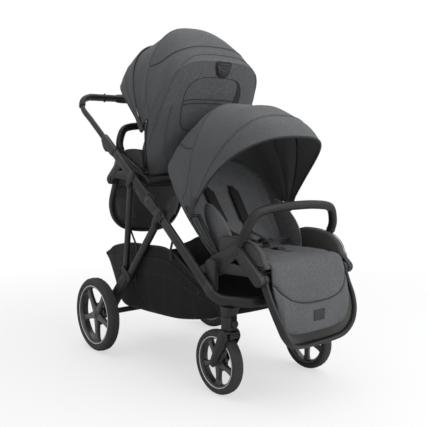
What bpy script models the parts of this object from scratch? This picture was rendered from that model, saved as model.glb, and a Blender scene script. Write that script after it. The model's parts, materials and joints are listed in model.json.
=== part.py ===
"""Convertible double stroller: two reclining seats on one folding four-wheel chassis.

Metres, +Z up. The front of the stroller faces -Y and the pushing handle is at +Y. Left and right
are those of the person who pushes it, so right is at -X. The drawing is made in a side view of
(y, z) pairs measured from the ground under the middle of the frame, and the whole model is then
centred over the origin.
"""

import math

import bmesh
import bpy
from mathutils import Matrix, Vector

# Clearances
GAP = 0.0003
CLOTH_CLEARANCE = 0.004

# Side tubes of the chassis, which stand clear of the seats' arms
ARM_INSIDE = 0.190
ARM_THICK = 0.0237
TUBE_WIDE = 0.022
TUBE_CLEARANCE = 0.0183
TUBE_X = ARM_INSIDE + ARM_THICK + TUBE_CLEARANCE + TUBE_WIDE / 2
TUBE_DEEP = 0.035
FOLD_AXIS = (0.045, 0.611)
UPPER_SLOPE = math.radians(35.1)
LOWER_SLOPE = math.radians(37.8)
UPPER_TUBE_LENGTH = 0.346
KNUCKLE_RADIUS = 0.021
KNUCKLE_REACH = 0.024

# Front crossbar, casters and front wheels
CROSSBAR_Z = 0.320
CROSSBAR_Y = -0.438
BEND_RISE = 0.0213
LOWER_TUBE_LENGTH = (FOLD_AXIS[1] - CROSSBAR_Z - BEND_RISE) / math.sin(LOWER_SLOPE)
CASTER_X = 0.208
CASTER_Y = -0.350
CASTER_RADIUS = 0.022
CASTER_BOTTOM = 0.2235
CROWN_THICK = 0.008
FORK_PLATE = 0.005
CASTER_TRAIL = 0.050
FRONT_WHEEL_RADIUS = 0.1072
FRONT_TYRE_WIDE = 0.040

# Rear legs, struts and rear wheels
LEG_PIVOT_REACH = 0.0772
LEG_PIVOT_DROP = 0.036
LEG_SLOPE = math.radians(48.8)
LEG_STRAIGHT = 0.355
LEG_WIDE = 0.022
LEG_DEEP = 0.029
AXLE_Y = 0.367
REAR_WHEEL_RADIUS = 0.1455
REAR_TYRE_WIDE = 0.046
WHEEL_CLEARANCE = 0.0115
REAR_TRACK = 2 * TUBE_X + LEG_WIDE + REAR_TYRE_WIDE + 2 * WHEEL_CLEARANCE
AXLE_RADIUS = 0.011
STUB_RADIUS = 0.006
STRUT_TOP_REACH = 0.141
STRUT_TOP_DROP = 0.034
STRUT_FOOT_REACH = 0.285
STRUT_FOOT_RISE = 0.034
STRUT_WIDE = 0.018
STRUT_DEEP = 0.026
CHEEK_THICK = 0.004
PIVOT_RADIUS = 0.012
PEDAL_WIDE = 0.070
PEDAL_LONG = 0.075

# Telescopic handle
HANDLE_WIDE = 0.014
HANDLE_DEEP = 0.026
HANDLE_INSERT = 0.130
HANDLE_STRAIGHT = 0.262
HANDLE_TRAVEL = 0.060
HANDLE_TOP = (0.571, 1.013)
GRIP_THICK = 0.0045
GRIP_HALF = 0.165
BUTTON_TRAVEL = 0.003
BUTTON_THICK = 0.005
BUTTON_LONG = 0.024
BUTTON_HALF = 0.006
BUTTON_FROM_END = 0.022
POCKET_DEEP = 0.0036

# Wheels in common
TREAD_SIDES = 32
RIM_SHARE = 0.80
HUB_RADIUS = 0.020
SPOKES = 5
RIM_THICK = 0.024

# Seats. Seat sizes are measured from the footrest hinge: y to the back, z up.
FRONT_SEAT = (-0.482, 0.401)
REAR_SEAT = (0.392, 0.677)
REAR_SEAT_UPRIGHT = math.radians(10.6)
RECLINE_AXIS = (0.200, 0.020)
CANOPY_AXIS = (0.305, 0.174)
SOCKET = (0.097, 0.080)
SOCKET_LEAN = math.radians(30.0)
HUB_DISC = 0.034
HINGE_DISC = 0.020
CROSS_TUBE = 0.0088
LIMB_STEP = 0.0006
BACK_TUBE = 0.007

# Canopy
CANOPY_HALF = 0.226
CANOPY_RISE = 0.384
CANOPY_PIN = 0.005
CLOTH_THICK = 0.0035
HOOD_REAR = math.radians(42.0)
HOOD_BOW = math.radians(70.0)
HOOD_FRONT = math.radians(108.0)
VISOR_SIDE = math.radians(123.5)
VISOR_LIP = math.radians(137.0)
VISOR_EAR = 0.062
ARCH_POWER = 2.6
COLLAR_POWER = 3.6

# Cushions and soft pieces
SHELL_THICK = 0.006
SHELL_LIFT = 0.010
BACK_PAD_THICK = 0.034
PAD_GAP = 0.0008
RECLINE_HANDLE_THICK = 0.010
RECLINE_HANDLE_SHARE = 0.950
SEAT_PAD_FLOOR = 0.030
SEAT_PAD_TOP = 0.060
SEAT_PAD_FRONT = 0.004
SEAT_PAD_REAR = 0.248
BOLSTER_RISE = 0.052
STRAP_WIDE = 0.034
STRAP_THICK = 0.006
STRAP_LIFT = 0.0051
BUCKLE_THICK = 0.010
BUCKLE_POCKET = 0.0045
BUCKLE_TRAVEL = 0.002
BUTTON_RADIUS = 0.012
CALF_LONG = 0.172
CALF_THICK = 0.022
FOOTREST_TUBE = 0.016
FOOTREST_DEEP = 0.028
BUMPER_RADIUS = 0.0145
BASKET_WALL = 0.004

DETAIL = 8


def clear_scene():
    for old in list(bpy.data.objects):
        bpy.data.objects.remove(old, do_unlink=True)


def make_material(name, colour, roughness, metallic=0.0):
    material = bpy.data.materials.new(name)
    material.use_nodes = True
    shader = material.node_tree.nodes["Principled BSDF"]
    shader.inputs["Base Color"].default_value = (*colour, 1.0)
    shader.inputs["Roughness"].default_value = roughness
    shader.inputs["Metallic"].default_value = metallic
    material.diffuse_color = (*colour, 1.0)
    return material


def make_materials():
    return {
        "frame": make_material("frame_paint", (0.040, 0.042, 0.043), 0.45, 0.3),
        "plastic": make_material("moulded_plastic", (0.022, 0.022, 0.023), 0.5),
        "rim": make_material("rim_plastic", (0.045, 0.046, 0.047), 0.35),
        "tyre": make_material("tyre_rubber", (0.025, 0.025, 0.026), 0.8),
        "cover": make_material("melange_cover", (0.105, 0.108, 0.112), 0.95),
        "cushion": make_material("cushion_cloth", (0.130, 0.135, 0.140), 0.95),
        "webbing": make_material("webbing", (0.006, 0.006, 0.006), 0.85),
        "basket": make_material("basket_cloth", (0.014, 0.014, 0.015), 0.9),
        "grip": make_material("leatherette", (0.020, 0.020, 0.021), 0.55),
    }


def side_point(origin, angle, along, across=0.0):
    """A side-view point: along the slope angle from origin, then across it, to its left."""
    y = origin[0] + along * math.cos(angle) - across * math.sin(angle)
    z = origin[1] + along * math.sin(angle) + across * math.cos(angle)
    return (y, z)


def smooth_path(points, per=5):
    """Catmull-Rom curve through the points, with per steps in each span."""
    ends = [2 * points[0] - points[1]] + list(points) + [2 * points[-1] - points[-2]]
    path = []
    for i in range(1, len(ends) - 2):
        p0, p1, p2, p3 = ends[i - 1:i + 3]
        for step in range(per):
            t = step / per
            path.append(0.5 * (2 * p1 + (p2 - p0) * t + (2 * p0 - 5 * p1 + 4 * p2 - p3) * t * t
                               + (3 * p1 - p0 - 3 * p2 + p3) * t ** 3))
    path.append(points[-1].copy())
    return path


def smooth_half(points, per):
    """A smooth path that ends level on x = 0."""
    mirror = Vector((-points[-2].x, points[-2].y, points[-2].z))
    return smooth_path(points + [mirror], per)[:(len(points) - 1) * per + 1]


def ring_section(wide, deep, sides, power):
    """A rounded flat section, as (across, deep) pairs."""
    pairs = []
    for i in range(sides):
        a = 2 * math.pi * (i + 0.5) / sides
        c, s = math.cos(a), math.sin(a)
        pairs.append((math.copysign(abs(c) ** (2 / power), c) * wide / 2,
                      math.copysign(abs(s) ** (2 / power), s) * deep / 2))
    return pairs


def close_mesh(bm):
    bmesh.ops.recalc_face_normals(bm, faces=bm.faces)
    return bm


def loft(rings):
    """One closed body through the rings, with flat ends."""
    bm = bmesh.new()
    rows = [[bm.verts.new(p) for p in ring] for ring in rings]
    count = len(rows[0])
    for a, b in zip(rows, rows[1:]):
        for i in range(count):
            j = (i + 1) % count
            bm.faces.new((a[i], a[j], b[j], b[i]))
    bm.faces.new(list(reversed(rows[0])))
    bm.faces.new(rows[-1])
    return close_mesh(bm)


def frames(path, across, level_end=False):
    """The two directions of a section at each point of a path. level_end squares the last to X."""
    side = Vector(across)
    pairs = []
    for i in range(len(path)):
        ahead = path[min(i + 1, len(path) - 1)] - path[max(i - 1, 0)]
        if level_end and i == len(path) - 1:
            ahead = Vector((1, 0, 0))
        ahead.normalize()
        side = (side - ahead * side.dot(ahead)).normalized()
        pairs.append((side, ahead.cross(side)))
    return pairs


def section_rings(path, pairs, wide, deep, sides, scale=None, power=2.6):
    rings = []
    for i, (point, (side, up)) in enumerate(zip(path, pairs)):
        grow = scale(i / (len(path) - 1)) if scale else 1.0
        pairs_here = ring_section(wide, deep, sides, power)
        rings.append([point + grow * (side * a + up * b) for a, b in pairs_here])
    return rings


def round_sweep(path, radius):
    return loft(section_rings(path, frames(path, (1, 0, 0)), 2 * radius, 2 * radius, DETAIL, power=2.0))


def sweep(path, wide, deep, sides=DETAIL, across=(1, 0, 0), scale=None, bore=None):
    """A tube along the path. wide lies along across at the start, deep stands square to it."""
    pairs = frames(path, across)
    rings = section_rings(path, pairs, wide, deep, sides, scale)
    if not bore:
        return loft(rings)
    return hollow(rings, section_rings(path, pairs, *bore, sides))


def bow_rings(half, wide, deep, sides=DETAIL, across=(1, 0, 0), scale=None):
    """Sections of a tube whose path ends on x = 0 and goes on as its own mirror image."""
    rings = section_rings(half, frames(half, across, True), wide, deep, sides, scale)
    mirrored = [[Vector((-p.x, p.y, p.z)) for p in ring] for ring in reversed(rings[:-1])]
    return rings + mirrored


def bow(half, wide, deep, sides=DETAIL, across=(1, 0, 0), scale=None):
    return loft(bow_rings(half, wide, deep, sides, across, scale))


def hollow(rings, bores):
    """A pipe: outer rings, inner rings and flat annular ends."""
    bm = bmesh.new()
    outer = [[bm.verts.new(p) for p in ring] for ring in rings]
    inner = [[bm.verts.new(p) for p in ring] for ring in bores]
    count = len(outer[0])
    loops = outer + list(reversed(inner)) + [outer[0]]
    for a, b in zip(loops, loops[1:]):
        for i in range(count):
            j = (i + 1) % count
            bm.faces.new((a[i], a[j], b[j], b[i]))
    return close_mesh(bm)


def lathe(profile, centre, steps):
    """A ring turned about the X axis through centre, from (radius, x) pairs. A flat is lowest."""
    bm = bmesh.new()
    rows = []
    for i in range(steps):
        a = 2 * math.pi * (i + 0.5) / steps
        s, c = math.sin(a), math.cos(a)
        rows.append([bm.verts.new((centre[0] + x, centre[1] + r * s, centre[2] - r * c))
                     for r, x in profile])
    count = len(profile)
    for i in range(steps):
        a, b = rows[i], rows[(i + 1) % steps]
        for k in range(count):
            m = (k + 1) % count
            bm.faces.new((a[k], a[m], b[m], b[k]))
    return close_mesh(bm)


def circle(y, z, radius, steps, start=0.0, stop=2 * math.pi):
    closed = abs(stop - start - 2 * math.pi) < 1e-6
    last = steps if closed else steps - 1
    return [(y + radius * math.cos(start + (stop - start) * i / last),
             z + radius * math.sin(start + (stop - start) * i / last)) for i in range(steps)]


def capsule(p, q, rp, rq, steps=6):
    """Outline round two circles, in the side view."""
    a = math.atan2(q[1] - p[1], q[0] - p[0])
    reach = math.hypot(q[0] - p[0], q[1] - p[1])
    lean = math.acos(max(-1.0, min(1.0, (rp - rq) / reach)))
    return (circle(q[0], q[1], rq, steps, a - lean, a + lean)
            + circle(p[0], p[1], rp, steps, a + lean, a + 2 * math.pi - lean))


def plate(outline, x0, x1, holes=()):
    """A side-view outline, with any holes, made solid from x0 to x1."""
    bm = bmesh.new()
    edges = []
    for loop in (outline, *holes):
        verts = [bm.verts.new((x0, y, z)) for y, z in loop]
        edges += [bm.edges.new((verts[i], verts[(i + 1) % len(verts)])) for i in range(len(verts))]
    if holes:
        bmesh.ops.triangle_fill(bm, edges=edges, use_beauty=True, use_dissolve=False)
    else:
        bm.faces.new(bm.verts)
    grown = bmesh.ops.extrude_face_region(bm, geom=bm.faces[:])
    moved = [item for item in grown["geom"] if isinstance(item, bmesh.types.BMVert)]
    bmesh.ops.translate(bm, verts=moved, vec=(x1 - x0, 0, 0))
    return close_mesh(bm)


def drum(y, z, radius, x0, x1, steps=12):
    return plate(circle(y, z, radius, steps), x0, x1)


def post(x, y, radius, z0, z1, steps=16):
    """A round post standing along Z."""
    rings = [[Vector((x + radius * math.cos(2 * math.pi * i / steps),
                      y + radius * math.sin(2 * math.pi * i / steps), z)) for i in range(steps)]
             for z in (z0, z1)]
    return loft(rings)


def disc(y, rx, ry, z0, z1, steps):
    """A flat oval standing along Z on the middle line."""
    turns = [2 * math.pi * i / steps for i in range(steps)]
    return loft([[Vector((rx * math.cos(a), y + ry * math.sin(a), z)) for a in turns] for z in (z0, z1)])


def brick(low, high):
    rings = [[Vector((x, y, z)) for x, y in ((low[0], low[1]), (high[0], low[1]),
                                             (high[0], high[1]), (low[0], high[1]))]
             for z in (low[2], high[2])]
    return loft(rings)


def slab(front, back, rows, columns):
    """A closed soft panel between two surfaces, each a function of (u, v) from 0 to 1."""
    bm = bmesh.new()
    grids = []
    for surface in (front, back):
        grids.append([[bm.verts.new(surface(c / columns, r / rows)) for c in range(columns + 1)]
                      for r in range(rows + 1)])
    for grid in grids:
        for r in range(rows):
            for c in range(columns):
                bm.faces.new((grid[r][c], grid[r][c + 1], grid[r + 1][c + 1], grid[r + 1][c]))
    near, far = grids
    rim = ([(0, c) for c in range(columns)] + [(r, columns) for r in range(rows)]
           + [(rows, c) for c in range(columns, 0, -1)] + [(r, 0) for r in range(rows, 0, -1)])
    for (r, c), (s, d) in zip(rim, rim[1:] + rim[:1]):
        bm.faces.new((near[r][c], near[s][d], far[s][d], far[r][c]))
    return close_mesh(bm)


class Builder:
    """Keeps the pivots, which are empties on the joint axes, and places each piece under one."""

    def __init__(self):
        self.materials = make_materials()
        self.pivots = {}
        self.pieces = []
        self.pivot("stroller", (0, 0, 0), None)

    def pivot(self, name, at, parent="stroller"):
        empty = bpy.data.objects.new("pivot_" + name, None)
        bpy.context.collection.objects.link(empty)
        place = Vector(at)
        if parent:
            empty.parent = self.pivots[parent][0]
            empty.location = place - self.pivots[parent][1]
        self.pivots[name] = (empty, place)

    def place_mesh(self, name, bm, pivot, angle):
        empty, place = self.pivots[pivot]
        bmesh.ops.translate(bm, verts=bm.verts, vec=-place)
        mesh = bpy.data.meshes.new(name)
        bm.to_mesh(mesh)
        bm.free()
        obj = bpy.data.objects.new(name, mesh)
        bpy.context.collection.objects.link(obj)
        obj.parent = empty
        mesh.shade_smooth()
        mesh.set_sharp_from_angle(angle=math.radians(angle))
        return obj

    def add(self, name, bm, material, pivot="stroller", join=(), cut=(), angle=38):
        """One piece. join and cut hold meshes that a Boolean adds to it or takes away."""
        obj = self.place_mesh(name, bm, pivot, angle)
        obj.data.materials.append(self.materials[material])
        for kind, tools in (("UNION", join), ("DIFFERENCE", cut)):
            for n, tool in enumerate(tools):
                helper = self.place_mesh(f"{name}_{kind.lower()}_{n}", tool, pivot, angle)
                helper.hide_render = True
                helper.display_type = "WIRE"
                step = obj.modifiers.new(f"{kind.lower()}_{n}", "BOOLEAN")
                step.operation = kind
                step.solver = "EXACT"
                step.object = helper
        self.pieces.append(obj)
        return obj

    def centre(self):
        """Puts the model's middle over the origin and its lowest point on the ground."""
        bpy.context.view_layer.update()
        graph = bpy.context.evaluated_depsgraph_get()
        low = Vector((1e9, 1e9, 1e9))
        high = -low
        for piece in self.pieces:
            shape = piece.evaluated_get(graph)
            for vert in shape.data.vertices:
                at = shape.matrix_world @ vert.co
                low = Vector(map(min, low, at))
                high = Vector(map(max, high, at))
        self.pivots["stroller"][0].location = (-(low.x + high.x) / 2, -(low.y + high.y) / 2, -low.z)


def sides():
    """The two sides of the stroller, as a name and a sign of x."""
    return (("right", -1), ("left", 1))


def span(sign, inner, outer):
    """An x range on one side, given by its distances from the middle."""
    return (inner, outer) if sign > 0 else (-outer, -inner)


def on_upper(along, drop=0.0):
    return side_point(FOLD_AXIS, UPPER_SLOPE, along, -drop)


def on_lower(along, drop=0.0):
    """A point down the lower tube, counted from the fold axis."""
    return side_point(FOLD_AXIS, math.pi + LOWER_SLOPE, along, drop)


def tube_inside():
    return TUBE_X - TUBE_WIDE / 2


def tube_outside():
    return TUBE_X + TUBE_WIDE / 2


def leg_pivot():
    return on_lower(LEG_PIVOT_REACH, LEG_PIVOT_DROP)


def on_leg(along, rise=0.0):
    return side_point(leg_pivot(), -LEG_SLOPE, along, rise)


def strut_top():
    return on_upper(STRUT_TOP_REACH, STRUT_TOP_DROP)


def strut_foot():
    return on_leg(STRUT_FOOT_REACH, STRUT_FOOT_RISE)


def side_vectors(x, points):
    return [Vector((x, y, z)) for y, z in points]


def clevis(sign, pivot, back_to, centre, wide, deep):
    """Two cheeks either side of a pivoted end, joined by a saddle round the tube that carries them."""
    inner = centre - wide / 2 - GAP
    outer = centre + wide / 2 + GAP
    angle = math.atan2(back_to[1] - pivot[1], back_to[0] - pivot[0])
    base = side_point(back_to, angle, deep / 2 - 0.004)
    cheeks = []
    for x0, x1 in ((inner - CHEEK_THICK, inner), (outer, outer + CHEEK_THICK)):
        cheeks.append(plate(capsule(pivot, base, PIVOT_RADIUS, PIVOT_RADIUS * 1.3), *span(sign, x0, x1)))
    return cheeks


def upper_block(sign, length, half, near, far):
    """A block under the upper tube's mouth, from near to far below the tube's middle line."""
    middle = UPPER_TUBE_LENGTH - BUTTON_FROM_END
    corners = [on_upper(middle - length / 2, near), on_upper(middle + length / 2, near),
               on_upper(middle + length / 2, far), on_upper(middle - length / 2, far)]
    return plate(corners, sign * TUBE_X - half, sign * TUBE_X + half)


def build_side_tubes(b):
    cheek_span = TUBE_WIDE / 2 + CHEEK_THICK
    for side, sign in sides():
        x = sign * TUBE_X
        outer_half = span(sign, TUBE_X + GAP, tube_outside())
        inner_half = span(sign, tube_inside(), TUBE_X - GAP)
        start = on_lower(KNUCKLE_REACH)
        stop = on_lower(LOWER_TUBE_LENGTH)
        tube = sweep(side_vectors(x, (start, stop)), TUBE_WIDE, TUBE_DEEP)
        lug = plate(capsule(FOLD_AXIS, on_lower(KNUCKLE_REACH + 0.02), KNUCKLE_RADIUS, 0.014), *outer_half)
        hinge = leg_pivot()
        carrier = on_lower(LEG_PIVOT_REACH)
        leg_cheeks = clevis(sign, hinge, carrier, TUBE_X, LEG_WIDE, TUBE_DEEP)
        ends = (on_lower(LEG_PIVOT_REACH - 0.025), on_lower(LEG_PIVOT_REACH + 0.025))
        saddle = sweep(side_vectors(x, ends), 2 * cheek_span + 2 * GAP, TUBE_DEEP + 0.004)
        seat_hub = seat_point(FRONT_SEAT, RECLINE_AXIS, 1)
        foot = on_lower((FOLD_AXIS[0] - seat_hub[0]) / math.cos(LOWER_SLOPE) + 0.004)
        mount = plate(capsule(seat_hub, foot, 0.024, 0.019),
                      *span(sign, ARM_INSIDE + ARM_THICK + GAP * 2, tube_inside() + 0.0015))
        b.add(f"front_tube_{side}", tube, "frame", join=[lug, saddle, *leg_cheeks, mount])

        start = on_upper(KNUCKLE_REACH)
        stop = on_upper(UPPER_TUBE_LENGTH)
        bore_end = UPPER_TUBE_LENGTH - HANDLE_INSERT - HANDLE_TRAVEL - 0.002
        bored = sweep(side_vectors(x, (on_upper(bore_end - 0.004), stop)),
                      TUBE_WIDE, TUBE_DEEP, bore=(HANDLE_WIDE + 2 * GAP, HANDLE_DEEP + 2 * GAP))
        solid = sweep(side_vectors(x, (start, on_upper(bore_end))), TUBE_WIDE * 0.97, TUBE_DEEP * 0.97)
        lug = plate(capsule(FOLD_AXIS, on_upper(KNUCKLE_REACH + 0.02), KNUCKLE_RADIUS, 0.014), *inner_half)
        carrier = on_upper(STRUT_TOP_REACH)
        cheeks = clevis(sign, strut_top(), carrier, TUBE_X, STRUT_WIDE, TUBE_DEEP)
        seat_hub = seat_point(REAR_SEAT, RECLINE_AXIS, -1)
        reach = span(sign, ARM_INSIDE + ARM_THICK + GAP * 2, tube_inside() + 0.0015)
        mount = drum(*seat_hub, 0.024, *reach)
        pocket = upper_block(sign, BUTTON_LONG + 2 * GAP, BUTTON_HALF + GAP, TUBE_DEEP / 2 - POCKET_DEEP,
                             TUBE_DEEP / 2 + POCKET_DEEP)
        joined = [bored, lug, *cheeks, mount]
        b.add(f"upper_tube_{side}", solid, "frame", "fold", join=joined, cut=[pocket])


def build_front_crossbar(b):
    start = on_lower(LOWER_TUBE_LENGTH + GAP)
    straight = on_lower(LOWER_TUBE_LENGTH + 0.010)
    half = [Vector((-TUBE_X, *straight)),
            Vector((-TUBE_X + 0.006, straight[0] - 0.0173, CROSSBAR_Z + 0.006)),
            Vector((-TUBE_X + 0.014, CASTER_Y, CROSSBAR_Z)),
            Vector((-CASTER_X + 0.004, CROSSBAR_Y + 0.046, CROSSBAR_Z)),
            Vector((-0.150, CROSSBAR_Y + 0.012, CROSSBAR_Z)),
            Vector((0, CROSSBAR_Y, CROSSBAR_Z))]
    path = [Vector((-TUBE_X, *start))] + smooth_half(half, 2)
    b.add("front_crossbar", bow(path, TUBE_WIDE, TUBE_DEEP), "frame")


def build_casters(b):
    top = CROSSBAR_Z - TUBE_DEEP / 2 - GAP
    for side, sign in sides():
        x = sign * CASTER_X
        post_body = post(x, CASTER_Y, CASTER_RADIUS, CASTER_BOTTOM, top)
        collar = post(x, CASTER_Y, CASTER_RADIUS + 0.004, CASTER_BOTTOM + 0.040, CASTER_BOTTOM + 0.050)
        flange = brick((x - 0.028, CASTER_Y - 0.036, top - 0.014), (x + 0.028, CASTER_Y + 0.026, top))
        b.add(f"caster_housing_{side}", post_body, "plastic", join=[collar, flange])

        swivel = f"caster_{side}"
        b.pivot(swivel, (x, CASTER_Y, 0))
        axle_y = CASTER_Y + CASTER_TRAIL
        axle_z = front_axle_height()
        crown_top = CASTER_BOTTOM - GAP
        crown_base = crown_top - CROWN_THICK
        half = FRONT_TYRE_WIDE / 2 + 0.0045
        crown = brick((x - half - FORK_PLATE, CASTER_Y - 0.024, crown_base),
                      (x + half + FORK_PLATE, CASTER_Y + 0.024, crown_top))
        blades = []
        for side_sign in (-1, 1):
            inner = x + side_sign * half
            outer = x + side_sign * (half + FORK_PLATE)
            outline = capsule((axle_y, axle_z), (CASTER_Y - 0.004, crown_base - 0.002), 0.013, 0.019)
            blades.append(plate(outline, min(inner, outer), max(inner, outer)))
            foot = plate([(CASTER_Y - 0.024, crown_base - 0.016), (CASTER_Y + 0.024, crown_base - 0.016),
                          (CASTER_Y + 0.024, crown_top - 0.001), (CASTER_Y - 0.024, crown_top - 0.001)],
                         min(inner, outer), max(inner, outer))
            blades.append(foot)
        axle = drum(axle_y, axle_z, STUB_RADIUS, x - half - 0.002, x + half + 0.002)
        b.add(f"caster_fork_{side}", crown, "plastic", swivel, join=[*blades, axle])

        lock = f"swivel_lock_{side}"
        lock_y = CASTER_Y - CASTER_RADIUS - 0.004
        lock_z = CASTER_BOTTOM + 0.024
        b.pivot(lock, (x, lock_y, lock_z))
        paddle = brick((x - 0.011, lock_y - 0.010, lock_z - 0.013),
                       (x + 0.011, lock_y + 0.0035, lock_z + 0.013))
        b.add(lock, paddle, "plastic", lock)
        build_wheel(b, "front", side, (x, axle_y, axle_z), FRONT_WHEEL_RADIUS, FRONT_TYRE_WIDE, swivel)


def front_axle_height():
    return FRONT_WHEEL_RADIUS * math.cos(math.pi / TREAD_SIDES)


def rear_axle_height():
    return REAR_WHEEL_RADIUS * math.cos(math.pi / TREAD_SIDES)


def build_wheel(b, end, side, centre, radius, wide, parent):
    pivot = f"{end}_wheel_{side}"
    b.pivot(pivot, centre, parent)
    rim = radius * RIM_SHARE
    shoulder = rim + GAP
    tread = wide * 0.30
    depth = radius - shoulder
    profile = [(shoulder, -wide * 0.36), (shoulder + depth * 0.35, -wide * 0.5),
               (shoulder + depth * 0.70, -wide * 0.46), (radius, -tread / 2), (radius, tread / 2),
               (shoulder + depth * 0.70, wide * 0.46), (shoulder + depth * 0.35, wide * 0.5),
               (shoulder, wide * 0.36)]
    b.add(f"{end}_tyre_{side}", lathe(profile, centre, TREAD_SIDES), "tyre", pivot)
    ring_inside = rim * 0.86
    spoke_half = 0.008
    holes = [circle(centre[1], centre[2], STUB_RADIUS + GAP, 12)]
    for n in range(SPOKES):
        middle = 2 * math.pi * (n + 0.5) / SPOKES + math.pi / 2
        out_angle = math.pi / SPOKES - spoke_half / ring_inside
        in_radius = HUB_RADIUS + 0.006
        in_angle = math.pi / SPOKES - spoke_half / in_radius
        outer = circle(centre[1], centre[2], ring_inside, 6, middle - out_angle, middle + out_angle)
        inner = circle(centre[1], centre[2], in_radius, 3, middle + in_angle, middle - in_angle)
        holes.append(outer + inner)
    steps = TREAD_SIDES
    outline = [(centre[1] + rim * math.sin(2 * math.pi * (i + 0.5) / steps),
                centre[2] - rim * math.cos(2 * math.pi * (i + 0.5) / steps)) for i in range(steps)]
    half = RIM_THICK / 2
    rim_mesh = plate(outline, centre[0] - half, centre[0] + half, holes)
    b.add(f"{end}_rim_{side}", rim_mesh, "rim", pivot)


def build_rear_frame(b):
    axle_z = rear_axle_height()
    hinge = leg_pivot()
    for side, sign in sides():
        x = sign * TUBE_X
        end = Vector((x, AXLE_Y, axle_z))
        low = on_leg(LEG_STRAIGHT)
        path = side_vectors(x, (hinge, on_leg(0.03), low))
        path += smooth_path([Vector((x, *low)), Vector((x, low[0] + 0.028, low[1] - 0.030)),
                             Vector((x, AXLE_Y - 0.036, axle_z + 0.027)), end], 2)[1:]
        leg = sweep(path, LEG_WIDE, LEG_DEEP, scale=lambda t: 0.84 if t < 0.05 else 1.0)
        width = span(sign, TUBE_X - LEG_WIDE / 2, TUBE_X + LEG_WIDE / 2)
        knob = drum(*hinge, PIVOT_RADIUS + 0.002, *width)
        foot = drum(AXLE_Y, axle_z, 0.020, *width)
        outer = REAR_TRACK / 2 + RIM_THICK / 2 + 0.003
        stub = drum(AXLE_Y, axle_z, STUB_RADIUS, *span(sign, TUBE_X, outer))
        spring_a = on_leg(LEG_STRAIGHT - 0.045, 0.010)
        spring_b = (AXLE_Y - 0.018, axle_z + 0.022)
        housing = plate(capsule(spring_a, spring_b, 0.017, 0.022),
                        *span(sign, TUBE_X - LEG_WIDE / 2 - 0.004, TUBE_X + LEG_WIDE / 2 + 0.004))
        carrier = on_leg(STRUT_FOOT_REACH)
        cheeks = clevis(sign, strut_foot(), carrier, TUBE_X, LEG_WIDE, LEG_DEEP)
        b.add(f"rear_leg_{side}", leg, "frame", "leg_fold", join=[knob, foot, stub, housing, *cheeks])

        name = f"strut_{side}"
        b.pivot(name, (x, *strut_top()), "fold")
        bar = sweep(side_vectors(x, (strut_top(), strut_foot())), STRUT_WIDE, STRUT_DEEP)
        width = span(sign, TUBE_X - STRUT_WIDE / 2, TUBE_X + STRUT_WIDE / 2)
        eyes = [drum(*strut_top(), PIVOT_RADIUS, *width), drum(*strut_foot(), PIVOT_RADIUS - 0.002, *width)]
        b.add(name, bar, "frame", name, join=eyes)
        build_wheel(b, "rear", side, (sign * REAR_TRACK / 2, AXLE_Y, axle_z), REAR_WHEEL_RADIUS,
                    REAR_TYRE_WIDE, "leg_fold")
    reach = TUBE_X - LEG_WIDE / 2 - 0.004 - GAP
    b.add("rear_axle", drum(AXLE_Y, axle_z, AXLE_RADIUS, -reach, reach), "frame", "leg_fold")
    b.pivot("brake", (0, AXLE_Y, axle_z), "leg_fold")
    half = PEDAL_WIDE / 2
    tread_y = AXLE_Y + PEDAL_LONG
    outline = [(AXLE_Y + 0.006, axle_z + 0.014), (tread_y - 0.020, axle_z + 0.026),
               (tread_y, axle_z + 0.022), (tread_y, axle_z + 0.014),
               (tread_y - 0.020, axle_z + 0.016), (AXLE_Y + 0.014, axle_z)]
    pedal = plate(outline, -half, half)
    collar = drum(AXLE_Y, axle_z, AXLE_RADIUS + 0.006, -half, half, 24)
    bore = drum(AXLE_Y, axle_z, AXLE_RADIUS + GAP, -half - 0.01, half + 0.01, 24)
    b.add("brake_pedal", pedal, "plastic", "brake", join=[collar], cut=[bore])


def build_handle(b):
    b.pivot("handle", (0, *on_upper(UPPER_TUBE_LENGTH)), "fold")
    first = on_upper(UPPER_TUBE_LENGTH - HANDLE_INSERT)
    bend = on_upper(UPPER_TUBE_LENGTH + HANDLE_STRAIGHT)
    before = on_upper(UPPER_TUBE_LENGTH + HANDLE_STRAIGHT * 0.7)
    top_y, top_z = HANDLE_TOP
    half = [Vector((-TUBE_X, *before)), Vector((-TUBE_X, *bend)),
            Vector((-TUBE_X + 0.012, top_y - 0.006, (bend[1] + top_z) / 2 + 0.010)),
            Vector((-TUBE_X + 0.040, top_y, top_z - 0.002)),
            Vector((-GRIP_HALF - 0.020, top_y, top_z)), Vector((-GRIP_HALF, top_y, top_z)),
            Vector((0, top_y, top_z))]
    path = [Vector((-TUBE_X, *first))] + smooth_half(half, 2)
    b.add("handle_bar", bow(path, HANDLE_WIDE, HANDLE_DEEP), "frame", "handle")
    wide = HANDLE_WIDE + 2 * GAP
    deep = HANDLE_DEEP + 2 * GAP
    count = sum(1 for p in path if abs(p.x) <= GRIP_HALF + GAP)
    level = path[-count:]
    pairs = frames(path, (1, 0, 0), True)[-count:]
    halves = []
    for size in ((wide + 2 * GRIP_THICK, deep + 2 * GRIP_THICK), (wide, deep)):
        rings = section_rings(level, pairs, *size, DETAIL)
        halves.append(rings + [[Vector((-p.x, p.y, p.z)) for p in ring] for ring in reversed(rings[:-1])])
    grip = hollow(*halves)
    b.add("handle_grip", grip, "grip", "handle")
    for side, sign in sides():
        name = f"height_button_{side}"
        near = TUBE_DEEP / 2 - POCKET_DEEP + BUTTON_TRAVEL + GAP
        at = on_upper(UPPER_TUBE_LENGTH - BUTTON_FROM_END, near)
        b.pivot(name, (sign * TUBE_X, *at), "fold")
        block = upper_block(sign, BUTTON_LONG, BUTTON_HALF, near, near + BUTTON_THICK)
        b.add(name, block, "plastic", name)


def seat_point(seat, local, facing):
    """Side-view place of a seat's own point. facing is 1 for the front seat, -1 for the rear one."""
    return (seat[0] + facing * local[0], seat[1] + local[1])


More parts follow.
